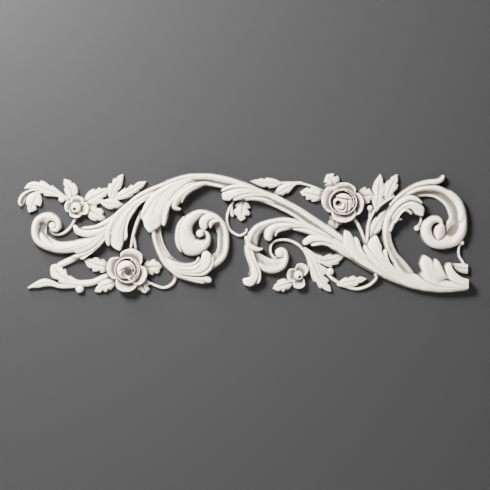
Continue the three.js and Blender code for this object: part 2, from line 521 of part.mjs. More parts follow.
const solids = [
  stroke(MAIN_STEM, RIM_ON_RIGHT, CARVING_RELIEF),
  stroke(BASE_BODY, FLUTED, CARVING_RELIEF),
  stroke(scrollPath(LEFT_SCROLL), RIM_ON_LEFT, SCROLL_RELIEF, SCROLL_SPANS),
  stroke(scrollPath(CENTRE_SCROLL), RIM_ON_RIGHT, SCROLL_RELIEF, SCROLL_SPANS),
  stroke(scrollPath(RETURN_SCROLL), RIM_ON_RIGHT, SCROLL_RELIEF, SCROLL_SPANS),
  stroke(scrollPath(RIGHT_SCROLL), RIM_ON_LEFT, SCROLL_RELIEF, SCROLL_SPANS),
  stroke(CREST_STRIP, ROUND, SCROLL_RELIEF),
  ...family(ACANTHUS_LOBES, LOBE, CARVING_RELIEF),
  ...family(DROP_LOBES, LOBE, CARVING_RELIEF),
  ...family(CLASP_LOBES, LOBE, CARVING_RELIEF),
  ...family(BASE_LOBES, LOBE, CARVING_RELIEF),
  ...family(SCROLL_LOBES, LOBE, SCROLL_RELIEF),
  ...family(LOOSE_LEAVES, LEAF, LEAF_RELIEF),
  ...family(TENDRILS, ROUND, TENDRIL_RELIEF),
  ...Object.values(SERRATED_LEAVES).map((leaf) => stroke(serratedLeaf(leaf), LEAF, LEAF_RELIEF)),
  ...SCROLL_EYES.map(([u, v, radius, share]) => ball(u, v, radius, share * SCROLL_RELIEF)),
  ...BERRIES.map(([u, v, radius, share]) => ball(u, v, radius, share * BERRY_RELIEF)),
  ...SMALL_FLOWERS.flatMap(smallFlower),
  ...ROSES.flatMap(rose),
];

const casting = solids.reduce((joined, solid) => joined.add(solid)).intersect(envelope());

/** The finished solid as a geometry with flat, outward faces. */
function toGeometry(solid) {
  const { vertProperties, triVerts, numProp } = solid.getMesh();
  const geometry = new THREE.BufferGeometry();
  const positions = new Float32Array((vertProperties.length / numProp) * 3);
  for (let i = 0; i < positions.length / 3; i += 1) {
    positions.set(vertProperties.slice(i * numProp, i * numProp + 3), i * 3);
  }
  geometry.setAttribute('position', new THREE.BufferAttribute(positions, 3));
  geometry.setIndex(new THREE.BufferAttribute(Uint32Array.from(triVerts), 1));
  geometry.computeVertexNormals();
  return geometry;
}

const finish = new THREE.MeshStandardMaterial({ color: 0xebe6dc, roughness: 0.72, metalness: 0 });
const moulding = new THREE.Mesh(toGeometry(casting), finish);
moulding.name = 'scroll_moulding';

const group = new THREE.Group();
group.add(moulding);

export default group;
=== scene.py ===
"""Carved scroll moulding: one cast, primed wall ornament, dressed for rendering.

The moulding is a single flat-backed casting. Its layout is drawn in the pixels of a 490 x 490 front
view (u to the right, v down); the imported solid's square end gives the scale. Each carved form is a
closed shell that stands on the wall, and the shells are fused into one skin.
"""

from __future__ import annotations

import logging
import math
from dataclasses import dataclass, field
from enum import Enum

import bmesh
import bpy
import numpy as np
from mathutils import Matrix, Vector


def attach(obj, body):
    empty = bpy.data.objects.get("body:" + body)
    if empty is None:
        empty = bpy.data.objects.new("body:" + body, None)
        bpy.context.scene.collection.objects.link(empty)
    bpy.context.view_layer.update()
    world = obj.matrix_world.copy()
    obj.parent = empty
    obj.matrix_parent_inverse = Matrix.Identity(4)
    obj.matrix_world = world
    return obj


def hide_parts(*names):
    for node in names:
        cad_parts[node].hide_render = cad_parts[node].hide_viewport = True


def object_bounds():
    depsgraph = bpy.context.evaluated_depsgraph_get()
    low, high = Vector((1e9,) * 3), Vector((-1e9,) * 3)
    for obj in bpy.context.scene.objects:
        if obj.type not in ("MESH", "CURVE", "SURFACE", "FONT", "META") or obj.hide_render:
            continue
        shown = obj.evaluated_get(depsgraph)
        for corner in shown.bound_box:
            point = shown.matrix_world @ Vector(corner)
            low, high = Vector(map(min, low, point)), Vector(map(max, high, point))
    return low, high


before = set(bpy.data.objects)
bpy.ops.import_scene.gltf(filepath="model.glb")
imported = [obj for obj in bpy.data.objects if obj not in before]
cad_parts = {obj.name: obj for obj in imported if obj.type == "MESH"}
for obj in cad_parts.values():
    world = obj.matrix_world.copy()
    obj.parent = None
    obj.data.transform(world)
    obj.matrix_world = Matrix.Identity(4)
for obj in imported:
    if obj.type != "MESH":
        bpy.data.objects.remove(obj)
CAD_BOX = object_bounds()

log = logging.getLogger("moulding")

# Rows of numbers, such as the points of a path
Rows = list[list[float]]

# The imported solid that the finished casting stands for, and where its sizes are written
NODE = "scroll_moulding"

# Origin and square end of the casting in the front view
ORIGIN_U = 242.5
ORIGIN_V = 188.0
SQUARE_END_U = 468.0

# Reliefs off the wall, in metres
CARVING_RELIEF = 0.020
SCROLL_RELIEF = 0.017
ROSE_RELIEF = 0.032
FLOWER_RELIEF = 0.019
LEAF_RELIEF = 0.009
TENDRIL_RELIEF = 0.007
BERRY_RELIEF = 0.011

# Skin: how finely forms are sampled, in pixels and steps, how far they run behind the wall and how
# finely they are fused, in metres, and the most triangles the skin may have
STATION_PIXELS = 1.1
LEAST_STATIONS = 6
ACROSS_STEPS = 14
FINE_ACROSS_STEPS = 20
FLUTED_ACROSS_STEPS = 26
BALL_SEGMENTS = 28
BALL_RINGS = 18
OVERRUN = 0.004
GROOVE_STATION = 0.7
LEAST_GROOVE_STATIONS = 8
GROOVE_REACH = 3
LEAST_HALF_WIDTH = 0.25
VOXEL = 0.00075
SMOOTH_PASSES = 1
SMOOTH_FACTOR = 0.5
TRIANGLE_BUDGET = 186000

# Painted shade and highlight: the grid on which hollows and ridges are found, in metres, with its
# margin in cells, and the distances over which they are felt, in metres
HOLLOW_CELL = 0.0012
HOLLOW_MARGIN = 30
HOLLOW_FADE = 0.0025
HOLLOW_REACHES = {"crevice": 0.0024, "hollow": 0.0075}

# The angle past which an edge of the skin stays crisp
SHARP_DEGREES = 60.0

# Real depth of a crease of depth 1, and the least relief that a crease leaves, in metres
CREASE_DEPTH = 0.0017
LEAST_RELIEF = 0.0035

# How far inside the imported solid's box the skin is trimmed
TRIM_MARGIN = 0.00002

# Band paths are rows of [u, v, half width, height share] and, where the section changes along the
# way, a fifth value: 1 for the full section and 0 for a plain crown

# Main stem from the right base, up the diagonal and over the arch to the acanthus leaf
MAIN_STEM = [
    [352, 251, 7.4, 0.98], [334, 237.6, 7, 0.97], [314, 223.6, 6.6, 0.96], [295, 210.9, 6.1, 0.95],
    [275, 201, 6.2, 0.95], [257, 193.9, 6.4, 0.95], [240, 187, 6.6, 0.95], [222, 181.9, 6.6, 0.95],
    [205, 179.2, 6.4, 0.95], [188, 180.6, 6.8, 0.93], [170, 186.6, 7.4, 0.86], [158, 193.6, 7, 0.76],
    [149, 199, 5, 0.6],
]

# Fluted body that runs out of the square end
BASE_BODY = [
    [333, 242.6, 6.6, 0.94], [350, 250.6, 7.6, 0.96], [365, 259.4, 8.2, 0.98], [380, 267, 8.5, 1],
    [395, 274, 8.5, 1], [410, 280, 8, 1], [425, 283.9, 7.4, 1], [440, 285.6, 7, 1],
    [455, 285.4, 6.4, 1], [474, 284, 5.8, 1],
]

# Crest strip on top of the right scroll
CREST_STRIP = [
    [390, 205.4, 1.4, 0.8], [396.6, 198.4, 2, 0.82], [405, 191.6, 2.5, 0.84], [416, 185.6, 2.9, 0.86],
    [427, 182.6, 3.2, 0.86], [435.4, 181.9, 3.3, 0.86], [441.8, 179.2, 3, 0.82], [443.8, 174.9, 2.1, 0.7],
]

# A volute turns around its centre from the start angle, clockwise in the front view where turn is
# positive. Its rings are [radius, half width, share, section], evenly spaced over the turn
LEFT_SCROLL = {
    "lead": [
        [112, 229, 5.5, 0.86, 0], [97, 239.5, 6.4, 0.94, 0], [83, 244.4, 6.4, 1, 0], [69, 247, 6, 1, 0.1],
    ],
    "centre": [53.5, 226.5],
    "start": 85,
    "turn": 424,
    "rings": [
        [20.2, 6.2, 1, 0.2], [17.7, 7.6, 1, 0.9], [14, 7.5, 1, 1], [10.8, 5.2, 1, 0], [6.9, 3.7, 1, 0],
        [4.9, 3.4, 0.98, 0], [4.2, 2.6, 0.96, 0], [3.6, 1.9, 0.94, 0], [3.3, 1.3, 0.9, 0],
    ],
}
CENTRE_SCROLL = {
    "lead": [
        [154, 214, 5, 0.96, 0.6], [155.7, 229, 5.2, 0.98, 0.7], [157.5, 239.8, 5.1, 1, 0.7],
        [161.4, 250.5, 5.4, 1, 0.6], [167.9, 260.3, 5.7, 1, 0.4], [177, 267, 5.8, 1, 0.2],
        [188, 269.2, 6.4, 1, 0],
    ],
    "centre": [200, 236],
    "start": 90,
    "turn": -540,
    "rings": [
        [31.2, 7.4, 1, 0], [28.4, 6.1, 1, 0.7], [23.3, 6, 1, 1], [22.9, 5.2, 1, 0.8], [22.2, 4.5, 1, 0.3],
        [18.3, 7.1, 1, 0], [15.6, 9.3, 1, 0], [14, 9.9, 0.98, 0], [10.4, 7.4, 0.96, 0], [8.6, 4.6, 0.94, 0],
        [7.3, 3.3, 0.92, 0.4], [6, 2.4, 0.9, 0.4], [5.6, 1.4, 0.88, 0],
    ],
}
RETURN_SCROLL = {
    "lead": [
        [350, 252, 6, 1.04, 0], [333, 241.6, 6, 1.03, 0], [318, 232.8, 5.6, 1.02, 0.1],
        [305, 226.9, 5.3, 1, 0.2],
        [292, 223.2, 5.1, 1, 0.3],
    ],
    "centre": [279, 252.5],
    "start": 270,
    "turn": -360,
    "rings": [
        [30.3, 4.9, 1, 0.4], [31.2, 5.6, 1, 0.5], [27.6, 7.2, 1, 0.6], [18, 7.6, 1, 0.6],
        [12.2, 6.9, 1, 0.5],
        [8.5, 4.2, 1, 0.2], [6.2, 2.9, 0.98, 0], [4.6, 2, 0.96, 0], [3.8, 1.4, 0.94, 0],
    ],
}
RIGHT_SCROLL = {
    "lead": [
        [410, 276, 6, 1, 0.1], [402, 266.6, 6.2, 1.04, 0.3], [393.4, 256, 5.5, 1.05, 0.4],
        [388.2, 243, 4.9, 1.04, 0.4],
        [387, 231, 4.6, 1.03, 0.3], [390, 219, 5.8, 1.02, 0.4], [395.5, 208.5, 6.2, 1, 0.1],
        [404, 199.8, 6.2, 1, 0.1], [415, 193.4, 5.8, 1, 0.5], [426, 190.9, 5.5, 1, 0.9],
    ],
    "centre": [438, 227],
    "start": 270,
    "turn": 450,
    "rings": [
        [34.9, 6.4, 1, 1], [30, 7.3, 1, 1], [25.9, 8.7, 1, 1], [22.4, 9.2, 1, 1], [18.9, 11, 1, 1],
        [18.2, 10.3, 1, 0.9], [18.2, 8, 1, 0.45], [17.4, 6.4, 1, 0.1], [17, 5.5, 1, 0],
        [15.6, 5.9, 0.99, 0],
        [14, 6.3, 0.98, 0], [12.6, 6.1, 0.97, 0], [11.3, 5.7, 0.96, 0], [10.2, 5.3, 0.95, 0],
        [9.3, 4.8, 0.94, 0],
        [8.4, 4.3, 0.94, 0], [7.4, 3.7, 0.94, 0], [6.2, 3, 0.93, 0], [5, 2.2, 0.92, 0], [4.4, 1.8, 0.91, 0],
        [4, 1.4, 0.9, 0],
    ],
}

# Leaf lobes on the scrolls
SCROLL_LOBES = {
    "left_shoot": [
        [64, 248.6, 2, 0.6], [53, 247, 3.6, 1], [45.4, 242, 4, 1], [42, 236.6, 2.8, 0.94],
        [40.4, 231.8, 0.8, 0.8],
    ],
    "centre_lower": [
        [158.9, 251.6, 2.6, 0.98], [164.9, 262.2, 3, 1], [172.6, 270.1, 3.4, 1], [182, 275.6, 3.6, 1],
        [192, 278, 3.6, 0.98], [201, 278.9, 3.6, 0.96], [207.6, 279.6, 3.8, 0.96], [211.4, 281.6, 2, 0.86],
    ],
    "centre_back_tip": [
        [184, 217, 1.4, 0.8], [179, 225, 2.4, 0.86], [177.2, 236, 2.6, 0.88], [178.2, 245, 2.4, 0.86],
        [181.2, 252.4, 0.7, 0.78],
    ],
    "centre_lower_tip": [[186, 278.4, 2.2, 0.88], [196, 280.6, 2.4, 0.88], [204.2, 283.4, 0.7, 0.8]],
    "return_hook": [
        [308, 228.4, 2, 0.6], [291, 225.4, 3.2, 1.04], [279, 226, 4.2, 1.1], [271.4, 229.4, 4.9, 1.12],
        [268.6, 235, 4.9, 1.1], [269.2, 241.2, 3.1, 0.96],
    ],
    "return_hook_tip": [
        [296, 227.4, 1.4, 0.6], [284, 228.6, 2.4, 1], [277.4, 231.4, 2.1, 0.98], [275.3, 236.6, 0.7, 0.84],
    ],
    "return_upper": [
        [336, 242.4, 2, 0.7], [318, 234.4, 3.6, 1.05], [305, 230.4, 3, 1.02], [292.6, 229, 0.8, 0.84],
    ],
    "return_inner": [
        [246.8, 236, 2.4, 0.94], [248.6, 244, 3.4, 1.04], [253.6, 248.3, 3.2, 1.04],
        [258.6, 249.3, 2, 0.98], [263.2, 248.6, 0.8, 0.84],
    ],
    "right_inner": [
        [442.4, 224.6, 3.2, 0.88], [439.8, 229.6, 5.6, 1.02], [438.8, 235.4, 5.1, 1.02],
        [436.8, 240.8, 2.2, 0.88],
    ],
    "right_finger": [
        [440, 189.6, 2, 0.9], [450.4, 193.8, 3.4, 1.0], [458, 201.6, 4.2, 1.05], [462, 211, 4.4, 1.06],
        [461.4, 217.6, 3.8, 1.02], [459.4, 222, 1.4, 0.88],
    ],
    "right_spur": [
        [390, 231, 2, 0.9], [393.8, 222, 2.3, 1.02], [398.4, 219, 2, 0.96], [402.4, 219.6, 0.8, 0.84],
    ],
}

# Leaf lobes on the arch and the base
LEAF_LOBES = {
    "curl": [
        [214, 182.4, 1.6, 0.3], [203, 183.6, 2.4, 0.96], [192, 187, 3.4, 1.08], [183, 192.6, 4.4, 1.12],
        [176.4, 199.6, 5.2, 1.12], [174.2, 205.8, 4.2, 1.04], [178, 208.9, 2.2, 0.92],
        [181.2, 208.6, 0.8, 0.84],
    ],
    "curl_tip": [
        [202, 185.4, 1.4, 0.8], [190, 190.6, 2.2, 1.04], [184, 196.8, 2, 1], [181.4, 203.4, 0.8, 0.86],
    ],
    "clasp_under": [
        [282, 205.6, 1.6, 0.3], [266, 200.1, 2.4, 0.94], [254, 198.2, 2.5, 0.98], [244.4, 198.8, 1.8, 0.88],
    ],
    "base_third": [[414, 281, 3, 0.6], [404, 275, 3.8, 1.02], [397, 267, 3.4, 1.06], [394, 259.2, 1, 0.9]],
}

# Eyes of the scrolls: [u, v, radius, share]
SCROLL_EYES = [
    [52.4, 225.6, 3.4, 1.02],
    [200, 233.4, 3.7, 1.04],
    [280, 252.5, 4.8, 1.08],
    [440, 228, 3, 0.98],
]


class Rib(Enum):
    """What a rib of a carved leaf does: ends the leaf at its side, stands as a crest or sinks as a valley."""

    SIDE = "side"
    CREST = "crest"
    VALLEY = "valley"


# Carved leaves that spread over ribs. A rib runs from the root to the free edge: a side is an edge of
# the leaf, a crest ends at a tip and a valley at the notch between two tips
FANS = {
    "acanthus_upper": {
        "relief": 0.0186,
        "rise": [0.4, 0.9, 0.98, 1.0, 0.94, 0.8],
        "ribs": [
            [
                Rib.SIDE, [186, 178], [160, 184], [140, 193], [124, 205.6], [110, 217], [96, 224.8],
                [82.5, 226.6],
            ],
            [
                Rib.CREST, [186, 179.5], [161, 186], [141, 195.2], [125, 207.8], [111, 219.4], [97, 226.6],
                [82.2, 227.7],
            ],
            [
                Rib.VALLEY, [186, 180.5], [162, 187], [142, 196.5], [126, 209], [112, 221], [98, 228.3],
                [82, 229.4],
            ],
            [
                Rib.CREST, [186, 181.5], [163, 188.5], [143, 198.5], [127, 211], [113, 223.5], [99, 231],
                [87, 232.6], [78.4, 230.8], [75.3, 224.8],
            ],
            [
                Rib.SIDE, [186, 182.5], [164, 190], [144, 200.5], [128, 213], [114, 226.5], [101, 234],
                [87.6, 236.8], [75.8, 233.8], [72.8, 225.6],
            ],
        ],
    },
    "acanthus_long": {
        "relief": 0.0176,
        "rise": [0.7, 0.9, 1.0, 1.0, 0.92, 0.78],
        "valley": 0.68,
        "ribs": [
            [Rib.SIDE, [146, 194], [124, 207.5], [108, 222], [97, 234.5], [86, 243.5], [74, 250]],
            [Rib.CREST, [147, 195], [125, 210], [110, 225], [99, 238], [88, 246.5], [73.2, 250.8]],
            [Rib.VALLEY, [147, 196], [126, 211], [111.5, 226.5], [101.5, 240], [91.5, 249], [80, 253.6]],
            [Rib.CREST, [147, 196.5], [126.5, 212], [112.5, 228], [102, 241], [90.6, 251], [71.4, 257.4]],
            [Rib.VALLEY, [148, 197], [127, 213], [113.2, 229.5], [102.8, 241.4], [93.8, 250.8], [81, 257]],
            [Rib.CREST, [148, 197.5], [128, 214], [114, 230.3], [103.6, 241.3], [95.8, 250.3], [82.4, 259.6]],
            [Rib.SIDE, [149, 198], [128.5, 215], [115, 231], [104.9, 239.8], [97.4, 248.2], [87, 256.4]],
        ],
    },
    "acanthus_middle": {
        "relief": 0.0196,
        "rise": [0.72, 0.88, 0.98, 1.04, 1.02, 0.86],
        "valley": 0.74,
        "side": 0.7,
        "ribs": [
            [Rib.SIDE, [150, 192], [125, 206], [111, 219], [105, 229.5], [104.4, 238]],
            [Rib.CREST, [151, 192.5], [127, 207], [114, 219.5], [108, 232], [107.3, 245.7]],
            [Rib.VALLEY, [152, 193], [129, 207], [117.5, 219], [111.8, 231], [110.6, 242.8]],
            [Rib.CREST, [152, 193.5], [131.5, 206.5], [121, 219], [116, 233], [115, 249]],
            [Rib.CREST, [153, 194], [134, 206], [124.5, 219], [120.5, 234], [120, 250.9]],
            [Rib.VALLEY, [154, 194.5], [137, 205], [128.5, 217], [124.7, 229], [124, 240.4]],
            [Rib.CREST, [155, 195], [139.5, 204], [132, 214], [127.5, 226], [127.6, 237]],
            [Rib.SIDE, [156, 196], [141.5, 203.5], [134, 213], [128, 223], [126.2, 231]],
        ],
    },
    "drop": {
        "relief": 0.0222,
        "rise": [0.3, 0.76, 0.88, 0.96, 1.03, 1.04, 0.86],
        "valley": 0.9,
        "side": 0.7,
        "ribs": [
            [
                Rib.SIDE, [203, 177.5], [185, 178.5], [168, 184], [153, 194], [145.4, 203], [141.8, 211],
                [140.8, 217],
            ],
            [
                Rib.CREST, [203, 178.5], [186, 180], [169.5, 186], [155, 196.5], [147, 206.5], [143, 213.5],
                [141, 218.8],
            ],
            [
                Rib.VALLEY, [203, 179], [187, 181], [171, 187.5], [157, 198], [149, 208], [145, 214],
                [143, 218.2],
            ],
            [
                Rib.CREST, [203, 179.5], [187, 182], [172.5, 189], [159.5, 199.5], [151.4, 210.5], [147, 220],
                [145.4, 228.4],
            ],
            [
                Rib.CREST, [203, 180], [188, 183], [174, 190.5], [161.6, 201], [155, 212], [151.4, 222.6],
                [150, 233],
            ],
            [
                Rib.CREST, [203, 180.5], [188.5, 184], [176, 192], [164, 202], [159, 212.5], [156.8, 221.6],
                [156.6, 228.6],
            ],
            [Rib.VALLEY, [203, 181], [189, 185], [178, 193], [167, 203], [163, 212.5], [161.4, 222.8]],
            [Rib.CREST, [203, 181.5], [190, 185.7], [180, 194], [170.4, 203], [166.6, 213], [164.9, 225.8]],
            [
                Rib.SIDE, [203, 182], [191, 186.5], [181.5, 194.5], [172.4, 202.5], [168.8, 211],
                [168.2, 217.4],
            ],
        ],
    },
    "clasp": {
        "relief": 0.0218,
        "rise": [0.5, 0.9, 1.0, 1.03, 0.86],
        "ribs": [
            [Rib.SIDE, [268, 193], [250, 186.5], [237, 184.5], [227, 186.5], [221, 190]],
            [Rib.CREST, [268, 193.5], [250, 187.8], [237, 186.5], [227.5, 188], [221, 190.9]],
            [Rib.VALLEY, [268, 194], [250, 189], [238, 188.3], [229, 190], [223.2, 192.1]],
            [Rib.CREST, [268, 194.5], [251, 190], [239, 190], [230, 192.5], [221.6, 195.2]],
            [Rib.CREST, [268.5, 195], [252, 191.2], [240, 192.2], [231.5, 195.2], [223, 200]],
            [Rib.CREST, [269, 195.5], [253, 192.3], [242, 193.8], [235, 196.8], [228.3, 200.8]],
            [Rib.VALLEY, [269.5, 196], [254, 193.3], [244, 194.3], [237, 195.6], [232.2, 197.2]],
            [Rib.CREST, [270, 196.5], [255, 194.5], [246, 195.6], [239.5, 197.6], [234.3, 200.8]],
            [Rib.SIDE, [271, 197.5], [258, 196.2], [250, 197], [244.5, 198.2], [240, 199.6]],
        ],
    },
    "centre_rise": {
        "relief": 0.0196,
        "rise": [0.8, 0.93, 0.98, 1.02, 1.04, 0.88],
        "ribs": [
            [Rib.SIDE, [166, 257.5], [173, 261], [182, 263.6], [190, 263.6], [195.3, 261.4], [198, 257]],
            [Rib.VALLEY, [166, 259], [173, 263], [182, 266], [191, 266], [197, 263.4], [200.4, 259.8]],
            [
                Rib.CREST, [166, 260.5], [173, 265], [183, 268], [193, 268.2], [200, 264], [203, 257.6],
                [203.4, 251.8],
            ],
            [
                Rib.CREST, [166.5, 262], [173.5, 267], [184, 270], [195, 270], [203, 266], [206.5, 259],
                [206.9, 250.6],
            ],
            [
                Rib.CREST, [167, 263.5], [174, 268.5], [185, 271.6], [197, 271.8], [205.5, 268], [209.6, 261],
                [210, 252.9],
            ],
            [
                Rib.VALLEY, [167.5, 265], [175, 270], [186, 273], [199, 273.3], [207.5, 269], [211, 262.5],
                [211.4, 257.9],
            ],
            [
                Rib.CREST, [168, 266], [176, 271], [187, 274], [201, 274.5], [209, 270], [212.5, 263.5],
                [213.5, 256.6],
            ],
            [
                Rib.SIDE, [168.5, 267], [177, 272], [188, 275], [202, 275.6], [209.8, 271.5], [213, 266.5],
                [214.2, 260.5],
            ],
        ],
    },
    "centre_fold": {
        "relief": 0.0192,
        "rise": [0.66, 0.92, 1.0, 1.02, 0.96, 0.84],
        "ribs": [
            [
                Rib.SIDE, [220.6, 220], [216.8, 215.4], [210, 213.6], [203.4, 215.8], [199.6, 220.6],
                [199.6, 226], [202.2, 229.8],
            ],
            [
                Rib.CREST, [221.4, 221.4], [217.4, 217], [211.2, 215.6], [205.5, 217.9], [202.3, 222],
                [202.4, 226.6], [204.6, 230.3],
            ],
            [
                Rib.CREST, [222.2, 222.8], [218.2, 218.6], [213, 217.6], [208, 219.3], [205.6, 223],
                [205.7, 226.6], [206.7, 229],
            ],
            [Rib.VALLEY, [223.2, 223.5], [219.5, 219.5], [214.8, 218.6], [210.2, 220.2], [208.2, 222.8]],
            [Rib.CREST, [223.5, 224.5], [220, 221], [216, 220.2], [212.3, 222], [210.5, 225], [210.5, 228.6]],
            [Rib.SIDE, [224, 225.5], [221, 222.5], [218, 221.8], [214.8, 222.8], [212.8, 225], [212, 227]],
        ],
    },
    "return_under": {
        "relief": 0.0192,
        "rise": [0.86, 0.98, 1.02, 1.0, 0.84],
        "ribs": [
            [Rib.SIDE, [352, 248], [336, 240.5], [320, 235.5], [310.4, 235], [305.6, 237.8]],
            [Rib.CREST, [352, 249.5], [336, 242.5], [321, 238], [310.8, 237.9], [302.4, 241.2]],
            [Rib.CREST, [352, 250.5], [336.5, 244.2], [322, 240], [312, 240], [303.8, 245]],
            [Rib.VALLEY, [352, 251.5], [337, 245.8], [324, 242.2], [316.5, 241.8], [311, 243.1]],
            [Rib.CREST, [352, 252.5], [338, 248], [327, 244.2], [319.5, 243.6], [312.7, 246.2]],
            [Rib.SIDE, [352, 254.5], [341.5, 252.2], [333, 248.8], [326, 245.8], [320, 244.8]],
        ],
    },
    "return_foot": {
        "relief": 0.0184,
        "rise": [0.84, 0.96, 1.0, 1.02, 0.98, 0.82],
        "ribs": [
            [Rib.SIDE, [244.5, 246], [246.5, 257], [249, 266], [249.8, 271], [248.3, 275]],
            [Rib.VALLEY, [246, 247], [248.2, 257.5], [250.6, 267], [251, 275.3]],
            [Rib.CREST, [247.2, 247.5], [249.6, 258], [252.2, 268], [251.4, 276], [247, 279], [242.4, 279.2]],
            [Rib.CREST, [248.4, 248], [251, 258.5], [254, 268.5], [254, 277], [250, 282.6], [243.8, 284.6]],
            [Rib.CREST, [249.8, 249], [252.6, 259.3], [256, 269], [257, 276], [254.6, 282], [249.8, 286.6]],
            [Rib.VALLEY, [251, 250], [254.2, 260], [257.6, 269], [258.4, 275.5], [255.4, 283.2]],
            [Rib.CREST, [252.2, 251], [255.4, 261], [259, 269], [260.4, 275], [259, 283.4]],
            [Rib.SIDE, [253.4, 252], [256.6, 262], [260, 269.4], [261.4, 273.5], [261.6, 278.8]],
        ],
    },
    "right_clasp": {
        "relief": 0.0226,
        "rise": [0.05, 0.62, 0.93, 1.03, 1.03, 0.86],
        "ribs": [
            [Rib.SIDE, [386.5, 229], [388.5, 214], [396.5, 202], [407.5, 195.8], [416, 197], [422.2, 201.6]],
            [
                Rib.CREST, [387.5, 229], [390.5, 215], [398.5, 204.3], [408.3, 198.8], [416, 199.6],
                [422.6, 202.8],
            ],
            [Rib.VALLEY, [388.4, 229], [392, 216], [400, 206], [409, 201.2], [415.5, 202], [420.8, 204.4]],
            [
                Rib.CREST, [389.2, 229], [393.4, 217], [401.2, 207.5], [409.7, 203.2], [417.2, 204.9],
                [424.4, 209.4],
            ],
            [
                Rib.CREST, [390, 229], [394.6, 218], [402.2, 208.9], [409.8, 205.3], [416.8, 208.2],
                [422.8, 216],
            ],
            [
                Rib.CREST, [390.8, 229], [395.6, 219], [403, 210.2], [409.2, 207.2], [413.5, 209.2],
                [416.8, 215],
            ],
            [Rib.VALLEY, [391.5, 229], [396.4, 219.8], [403.4, 211.3], [408.4, 209.3], [412.6, 211.8]],
            [Rib.CREST, [392.2, 229], [396.5, 219.9], [402.6, 211.7], [407, 210.3], [411, 214.8]],
            [Rib.SIDE, [393, 229], [397, 220.4], [401, 213.8], [404.4, 211.4], [408.2, 212.4]],
        ],
    },
    "base_first": {
        "relief": 0.0214,
        "rise": [0.84, 0.9, 0.97, 1.03, 1.02, 0.84],
        "root": 0.0,
        "valley": 0.87,
        "side": 0.8,
        "ribs": [
            [
                Rib.SIDE, [381, 274.6], [362, 264.6], [350.4, 255.4], [343.4, 246], [343.2, 238],
                [343.9, 230.6],
            ],
            [Rib.CREST, [382.4, 274], [364, 263.6], [353, 253.4], [347, 244.5], [345.3, 237], [345.1, 229.8]],
            [
                Rib.CREST, [383.6, 273.6], [366, 262.6], [355.5, 252], [350.4, 243.5], [348.9, 237],
                [349.2, 231.4],
            ],
            [Rib.VALLEY, [385, 273.4], [368.5, 261.8], [358.6, 251.4], [355, 244.5], [353.8, 239]],
            [Rib.CREST, [386, 274], [370, 261], [361, 251.2], [357.5, 244.4], [356.6, 237.2]],
            [Rib.CREST, [387, 273], [371.5, 260.5], [362.8, 252], [359.7, 245.7], [358.9, 240.3]],
            [Rib.SIDE, [388, 272], [373.5, 261], [366.5, 255.5], [362.2, 250], [360.4, 244.5]],
        ],
    },
    "base_second": {
        "relief": 0.0224,
        "rise": [0.82, 0.9, 0.97, 1.03, 1.02, 0.84],
        "root": 0.0,
        "valley": 0.87,
        "side": 0.8,
        "ribs": [
            [Rib.SIDE, [404, 283.5], [386, 273.5], [373, 263], [366, 255], [362.6, 249.4]],
            [Rib.CREST, [405, 282.5], [387, 271.5], [375, 261], [368, 253], [362.8, 245.8]],
            [Rib.VALLEY, [406, 281.5], [388, 269.8], [377, 259], [371, 251.4], [367.3, 246.6]],
            [Rib.CREST, [407, 280.5], [389, 268], [379, 256.5], [373.6, 247.5], [371, 238.4]],
            [Rib.CREST, [408, 279.5], [390.5, 267], [381.2, 255], [377, 246], [376.4, 235.4]],
            [Rib.CREST, [409, 278.5], [391.8, 266.5], [383.4, 256], [380.6, 249.6], [380.6, 243.3]],
            [Rib.VALLEY, [410, 277.5], [393, 267], [386, 259.6], [382, 252.6]],
            [Rib.CREST, [411, 276.5], [394.2, 267.5], [388, 260], [386.2, 249.4]],
            [Rib.SIDE, [412, 276], [396, 269.5], [390, 264.5], [387.4, 256]],
        ],
    },
    "base_fourth": {
        "relief": 0.0226,
        "rise": [0.7, 0.94, 1.0, 1.04, 1.0, 0.84],
        "root": 0.0,
        "valley": 0.89,
        "side": 0.8,
        "ribs": [
            [Rib.SIDE, [442, 287.4], [430, 283], [423, 278], [418.8, 272]],
            [Rib.VALLEY, [442, 286], [430, 280.5], [424.3, 275], [421.5, 270.3]],
            [Rib.CREST, [442, 284.2], [430.5, 277], [423.8, 269], [419.3, 262]],
            [Rib.CREST, [442.5, 282.6], [432, 274.5], [426, 265], [422.8, 254.8]],
            [Rib.CREST, [443, 281.4], [434, 273], [429.6, 265], [428.4, 256.8]],
            [Rib.VALLEY, [444, 280.4], [436.4, 272.8], [433.7, 266.8], [432.8, 262.5]],
            [Rib.CREST, [445.4, 279.4], [438.8, 272], [436.9, 266], [435.9, 258.6]],
            [Rib.CREST, [446.6, 279], [441.4, 272.6], [439.3, 267], [438.9, 261.2]],
            [Rib.SIDE, [448.6, 279.4], [445, 275], [442.6, 269.4], [441, 264.6]],
        ],
    },
    "base_fifth": {
        "relief": 0.0214,
        "rise": [0.84, 0.96, 1.02, 1.04, 0.86],
        "root": 0.0,
        "valley": 0.8,
        "side": 0.8,
        "ribs": [
            [Rib.SIDE, [474, 289], [460, 286], [451, 281], [446, 274.5], [443.8, 266.6]],
            [Rib.CREST, [474, 287], [461, 283.5], [453, 278], [448, 271], [446.4, 263.2]],
            [Rib.CREST, [474, 284], [462, 281], [454.6, 275.6], [450.6, 269.2], [449.8, 262.4]],
            [Rib.SIDE, [474, 280.5], [463, 278], [456, 273.2], [452.6, 268.4], [451.4, 264.6]],
        ],
    },
}

